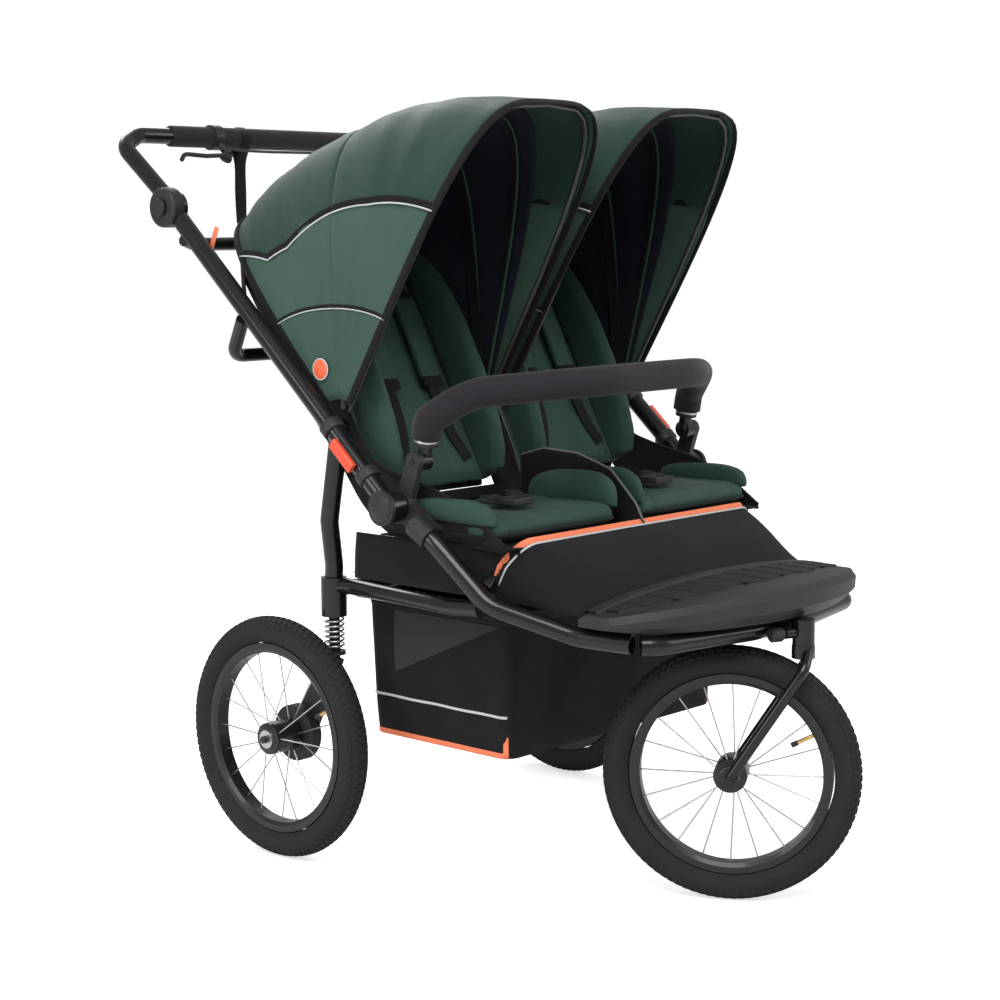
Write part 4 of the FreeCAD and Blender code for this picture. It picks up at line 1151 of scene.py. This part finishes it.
deck_rows = [[(0.324 * (j / 24 - 1), 0.03 - 0.266 * i / 12, 0.553 - 0.004 * sin(pi * i / 12)
               * (1 - abs(j / 24 - 1) ** 4)) for j in range(49)] for i in range(13)]
cloth_sheet("seat_deck_cloth", deck_rows, "chassis", 0.648, "stretched", "cross_tubes",
            "side_rails", thick=0.002, stands_for=["seat_deck"])

hull_rows = []
for i in range(13):
    v = i / 12
    hull_rows.append([(0.276 * (j / 20 - 1), 0.03 + 0.112 * v + 0.012 * sin(pi * v),
                       0.551 - 0.078 * v - 0.012 * sin(pi * v) + 0.0018 * sin(j * 0.9 + 3 * v))
                      for j in range(41)])
cloth_sheet("seat_hull", hull_rows, "chassis", 0.552, "hung", "cross_tubes")

strip_rows = []
for i in range(17):
    v = i / 16
    strip_rows.append([(0.036 * (j / 6 - 1),
                        0.05 + 0.115 * v + 0.003 * sin(pi * v) * sin(j * 0.5), 0.6 + 0.22 * v)
                       for j in range(13)])
cloth_sheet("seat_divide_back", strip_rows, "upper_frame", 0.072, "stretched",
            "upper_cross_tubes")

valance_rows = []
for i in range(11):
    v = i / 10
    valance_rows.append([(0.302 * (j / 24 - 1),
                          0.03 + 0.017 * v + 0.0012 * sin(j * 0.8) * sin(pi * v),
                          0.553 + 0.0515 * v) for j in range(49)])
valance = surface("seat_valance", valance_rows)
settle(valance, "seat_valance", black_paint, None)
as_sheet(valance, 0.604, "hung", ["seat_deck_cloth"])
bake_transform(valance)

for side, sign in (("left", 1), ("right", -1)):
    rows = []
    for i in range(11):
        v = i / 10
        rows.append([(sign * (float(np.interp(j, (0, 3, 9), (0.29, 0.3, 0.3225)))
                              + 0.005 * v + 0.0018 * sin(j * 0.55) * sin(pi * v)),
                      -0.236 + 0.321 * j / 36, 0.5515 - (0.5515 - 0.478) * v) for j in range(37)])
    cloth_sheet("seat_skirt_" + side, rows, "chassis", 0.321, "hung", "side_rails")
    front_edge = smooth_line([(0, -0.235, 0.558), (0, -0.17, 0.6), (0, -0.1, 0.628),
                              (0, 0.0, 0.65), (0, 0.055, 0.672), (0, 0.1, 0.73),
                              (0, 0.18, 0.86), (0, 0.235, 0.965)], 48)
    back_edge = smooth_line([(0, -0.235, 0.5495), (0, -0.17, 0.5495), (0, -0.1, 0.5495),
                             (0, 0.0, 0.5495), (0, 0.07, 0.59), (0, 0.13, 0.66),
                             (0, 0.25, 0.8), (0, 0.36, 0.955)], 48)
    rows = []
    for i in range(13):
        v = i / 12
        row = [a.lerp(b, v) for a, b in zip(front_edge, back_edge)]
        for j, point in enumerate(row):
            point.x = sign * (0.3215 - 0.0055 * min(1, j / 30)
                              + 0.002 * sin(j * 0.7) * sin(pi * v))
        rows.append(row)
    wall = surface("seat_side_" + side, rows)
    settle(wall, wall.name, black_paint, None)
    hem = [point + Vector((sign * 0.3215 - sign * 0.0055 * min(1, j / 30), 0, 0))
           for j, point in enumerate(front_edge)]
    edging = settle(band("seat_side_hem_" + side, hem, (1, 0, 0), 0.005, 0.005, square=1),
                    "seat_side_hem_" + side, webbing_paint, None)
    as_sheet(wall, 0.8, "stretched", ["side_rails", "upper_cross_tubes"], edging)
    for piece in (wall, edging):
        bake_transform(piece)
    tab = smooth_line([(sign * 0.349, 0.378, 1.03), (sign * 0.352, 0.388, 1.0),
                       (sign * 0.352, 0.392, 0.972), (sign * 0.35, 0.385, 0.95)], 18)
    sew("pull_tab_" + side, orange_paint, "upper_frame", "fabric_black", tab, (1, 0, 0), 0.011,
        0.0014)

# Basket: a box of black polyester with a net window in each side, hung from the side rails
# by a sloping hem. Both sides have silver piping, orange tape low down, and an orange tab.
basket_dark, basket_light = (0.005, 0.005, 0.0056), (0.011, 0.011, 0.012)
basket_paint = fabric("basket_polyester", basket_dark, basket_light, 0.6, sheen=0.03)
basket_paint.shader.inputs["Specular IOR Level"].default_value = 0.14
x, y, z = (basket_paint.place.node("SeparateXYZ", {}, {0: basket_paint.place}, k) for k in range(3))
above = z.maths("GREATER_THAN", z, y * -0.44 + 0.3452)
inside = x.maths("GREATER_THAN", x.maths("ABSOLUTE", x), 0.25)
window = above * inside * x.maths("LESS_THAN", y, 0.058) * x.maths("LESS_THAN", z, 0.421)
mesh_pitch = 0.0042
knit = (y.maths("SINE", y * (2 * pi / mesh_pitch))
        * z.maths("SINE", z * (2 * pi / mesh_pitch)))
hole = x.maths("GREATER_THAN", knit.maths("ABSOLUTE", knit), 0.2)
basket_paint.feed("Alpha", 1 - window * hole * 0.8)
tone = basket_paint.place.cloud(9, 3)
plain = tone.colour(basket_dark, basket_light)
basket_paint.feed("Base Color", window.colour(plain, (0.06, 0.06, 0.055)))


def basket_ring(high, half, back, front, corner=0.022):
    """The basket's outline at a height: straight sides and rounded corners."""
    line = []
    for cx, cy, first in ((half - corner, back - corner, 0),
                          (-half + corner, back - corner, 90),
                          (-half + corner, front + corner, 180),
                          (half - corner, front + corner, 270)):
        for k in range(7):
            turn = radians(first + 15 * k)
            line.append(Vector((cx + corner * cos(turn), cy + corner * sin(turn), high)))
    full = []
    for a, b in zip(line, line[1:] + line[:1]):
        steps = 24 if (b - a).length > 0.1 else 1
        full += [a.lerp(b, k / steps) for k in range(steps)]
    return full


rings = []
for i in range(21):
    v = i / 20
    half = 0.266 - 0.006 * v + 0.0035 * sin(pi * v)
    ring = basket_ring(0.434 - 0.222 * v, half, 0.124 - 0.01 * v, -0.191 + 0.006 * v)
    rings.append([p + Vector((0.0016 * sin(p.y * 60 + v * 5), 0.0016 * sin(p.x * 40 + v * 4),
                              0)) * sin(pi * v) for p in ring])
sides = surface("basket_sides", rings, around=True)
settle(sides, "basket_sides", basket_paint, "chassis", "basket")
low_ring = basket_ring(0.2125, 0.2595, 0.1135, -0.1845)
floor_middle = Vector((0, -0.035, 0.2115))
rounds = [low_ring] + [[floor_middle.lerp(p, 1 - k / 8)
                        + Vector((0, 0, -0.0025 * sin(pi * k / 16))) for p in low_ring]
                       for k in range(1, 8)]
base = surface("basket_floor_cloth", rounds, around=True)
ends = bmesh.new()
ends.from_mesh(base.data)
loose = [e for e in ends.edges if e.is_boundary and max(abs(v.co.x) for v in e.verts) < 0.1]
bmesh.ops.holes_fill(ends, edges=loose)
ends.to_mesh(base.data)
ends.free()
settle(base, "basket_floor_cloth", black_paint, "chassis")
trims = []


def trim(name, paint, line, *shape, **form):
    """Sews one more band on the basket's sides."""
    trims.append(sew("basket_" + name, paint, "chassis", "fabric_black", line, *shape, **form))


trim("hem", webbing_paint, rings[0] + rings[0][:1], (0, 0, 1), 0.004, 0.02)
for sign in (-1, 1):
    line = [p + Vector((sign * 0.0016, 0, 0)) for p in rings[14] if p.x * sign > 0.258]
    line.sort(key=lambda p: p.y)
    trim(f"piping_{sign + 1}", silver_paint, line, (0, 0, 1), 0.0035, 0.0045, square=1)
    line = [p + Vector((sign * 0.0012, 0, 0.0035)) for p in low_ring if p.x * sign > 0.253]
    line.sort(key=lambda p: p.y)
    trim(f"tape_{sign + 1}", orange_paint, line, (0, 0, 1), 0.0035, 0.009)
for sign in (-1, 1):
    corner = [(sign * 0.2575, -0.1755, 0.214 + 0.0055 * k) for k in range(7)]
    trim(f"tab_{sign + 1}", orange_paint, corner, (sign, -0.4, 0), 0.009, 0.0035)
    seam = [(sign * 0.2572, -0.1835, 0.262 + 0.0165 * k) for k in range(11)]
    trim(f"seam_{sign + 1}", webbing_paint, seam, (sign, -1, 0), 0.006, 0.002)
    rows = [[(sign * (0.266 + 0.054 * i / 8), -0.186 + 0.3 * j / 30,
              0.436 + 0.018 * i / 8 - 0.006 * sin(pi * i / 8)) for j in range(31)]
            for i in range(9)]
    cloth_sheet(f"basket_wing_{sign + 1}", rows, "chassis", 0.3, "hung", "side_rails")
as_sheet(sides, 1.1, "hung", ["side_rails"], *trims)
as_sheet(base, 0.52, "laid", ["basket_sides"])


def rounded(points, bend, steps=10):
    """The line of a bent tube: straight runs between points, joined by arcs."""
    line = [Vector(points[0])]
    for before, corner, after in zip(points, points[1:], points[2:]):
        before, corner, after = Vector(before), Vector(corner), Vector(after)
        inward, outward = (before - corner), (after - corner)
        half = inward.angle(outward) / 2
        back = min(bend / max(1e-6, sin(half) / cos(half)), 0.45 * inward.length,
                   0.45 * outward.length)
        a, b = corner + inward.normalized() * back, corner + outward.normalized() * back
        for k in range(steps + 1):
            t = k / steps
            line.append(a * (1 - t) ** 2 + corner * 2 * t * (1 - t) + b * t ** 2)
    line.append(Vector(points[-1]))
    full = []
    for a, b in zip(line, line[1:]):
        steps = max(1, int((b - a).length / 0.008))
        full += [a.lerp(b, k / steps) for k in range(steps)]
    return full + [line[-1]]


# Bumper bar and handle grip: foam tube under black neoprene, with a flat stitched seam on
# the bar's underside. A nylon collar with a steel band closes each end of the bar's foam.
foam_paint = Paint("black_neoprene", Sheen_Weight=0.12, Sheen_Roughness=0.5,
                   Specular_IOR_Level=0.2)
tone = foam_paint.place.cloud(12, 3)
knit = foam_paint.place.cloud(1300, 2)
foam_paint.feed("Base Color", (tone * 0.7 + knit * 0.3).colour((0.0085, 0.007, 0.0095),
                                                               (0.019, 0.016, 0.021)))
foam_paint.feed("Roughness", 0.7 + tone * 0.16)
foam_paint.relief(knit * 0.5 + foam_paint.place.cloud(70, 3), 0.0006)
bar_half = [(0.326, -0.0755, 0.7117), (0.326, -0.08, 0.74), (0.286, -0.1334, 0.782),
            (0.1174, -0.246, 0.796)]
bar_line = rounded(bar_half + [(-x, y, z) for x, y, z in reversed(bar_half)], 0.15)
cover = band("bumper_cover", bar_line, (0, 0.35, 0.94), 0.0476, 0.0476, corners=32, square=1)
settle(cover, "bumper_cover", foam_paint, "bumper", "bumper_foam")
under = [p + Vector((0, 0.0085, -0.0222)) for p in bar_line[4:-4]]
sew("bumper_seam", webbing_paint, "bumper", "foam", under, (0, 0.35, 0.94), 0.009, 0.002)
for side, sign in (("left", 1), ("right", -1)):
    foot = Vector((sign * 0.326, -0.0755, 0.7117))
    way = (Vector((sign * 0.326, -0.07, 0.677)) - foot).normalized()
    for name, paint, radius, start, length in (("collar", nylon_paint, 0.0185, -0.004, 0.016),
                                               ("band", steel_paint, 0.0192, 0.002, 0.0045)):
        turned(f"bumper_{name}_{side}", paint, "bumper",
               radius, length,
               foot + way * (start + length / 2), way.to_track_quat("Z", "Y").to_euler(), 0.0012)

grip = turned("grip_sleeve", foam_paint, "handle", 0.0184, 0.5, (0, 0.62, 1.186),
              (0, pi / 2, 0), 0.004, segments=5, smooth=40, stands_for=["handle_grip"])

# Brake cable: a lined black cable, about half a metre, from the lever's bracket along under
# the grip into the handle's other arm, where it goes down inside the frame.
cable_paint = Paint("cable_cover", Specular_IOR_Level=0.35)
tone = cable_paint.place.cloud(80, 3)
cable_paint.worn(tone, (0.02, 0.02, 0.021), (0.05, 0.05, 0.052), 0.4, 0.2)
cable_paint.relief(tone, 0.0001)
cable_points = [(-0.1396, 0.5972, 1.1665), (-0.09, 0.5926, 1.1626), (0.06, 0.5942, 1.1639),
                (0.2, 0.5942, 1.1639), (0.3395, 0.596, 1.16)]
route = bpy.data.curves.new("brake_cable_run", "CURVE")
route.dimensions = "3D"
route.bevel_depth = 0.0026
route.bevel_resolution = 3
route.use_fill_caps = True
route.resolution_u = 12
spline = route.splines.new("NURBS")
spline.points.add(len(cable_points) - 1)
for point, place in zip(spline.points, cable_points):
    point.co = (*place, 1)
spline.order_u = 3
spline.use_endpoint_u = True
cable = bpy.data.objects.new("brake_cable_run", route)
bpy.context.scene.collection.objects.link(cable)
cable.data.materials.append(cable_paint.material)
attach(cable, "handle")
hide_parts("brake_cable")

# Wrist strap: a loop of black webbing sewn round the grip.
loop_x = -0.09
loop_side = [(0.62, 1.2055), (0.64, 1.19), (0.634, 1.168), (0.6235, 1.14), (0.6235, 1.09),
             (0.621, 1.042), (0.6185, 1.042), (0.6175, 1.09), (0.6175, 1.14), (0.607, 1.168),
             (0.6, 1.19), (0.6195, 1.2055)]
loop = smooth_line([(loop_x, y, z) for y, z in loop_side], 90)
strap = settle(band("wrist_loop", loop, (1, 0, 0), 0.0016, 0.021), "wrist_loop", webbing_paint,
               "handle", "wrist_strap")

# Hinge trim: a round cap over each main hinge pin, and moulded collars round the upper
# tube on both sides of the orange catch.
hinge_y, hinge_z = -0.043, 0.607
tube_start = Vector((0, hinge_y, hinge_z))
tube_way = Vector((0, 0.513, 0.455)).normalized()
for side, sign in (("left", 1), ("right", -1)):
    deselect()
    bpy.ops.mesh.primitive_uv_sphere_add(segments=48, ring_count=24, radius=0.0225,
                                         location=(sign * 0.3935, hinge_y, hinge_z),
                                         rotation=(0, pi / 2, 0))
    cap = bpy.context.object
    cap.scale = (1, 1, 0.26)
    bpy.ops.object.transform_apply(location=False, rotation=False, scale=True)
    settle(cap, "hinge_cap_" + side, nylon_paint, "chassis")
    bpy.ops.object.shade_smooth()
    for number, along in enumerate((0.066, 0.171)):
        turned(f"catch_collar_{side}_{number}", nylon_paint, "upper_frame",
               0.0188, 0.018, tube_start + tube_way * along + Vector((sign * 0.3715, 0, 0)),
               tube_way.to_track_quat("Z", "Y").to_euler(), 0.002, smooth=40)
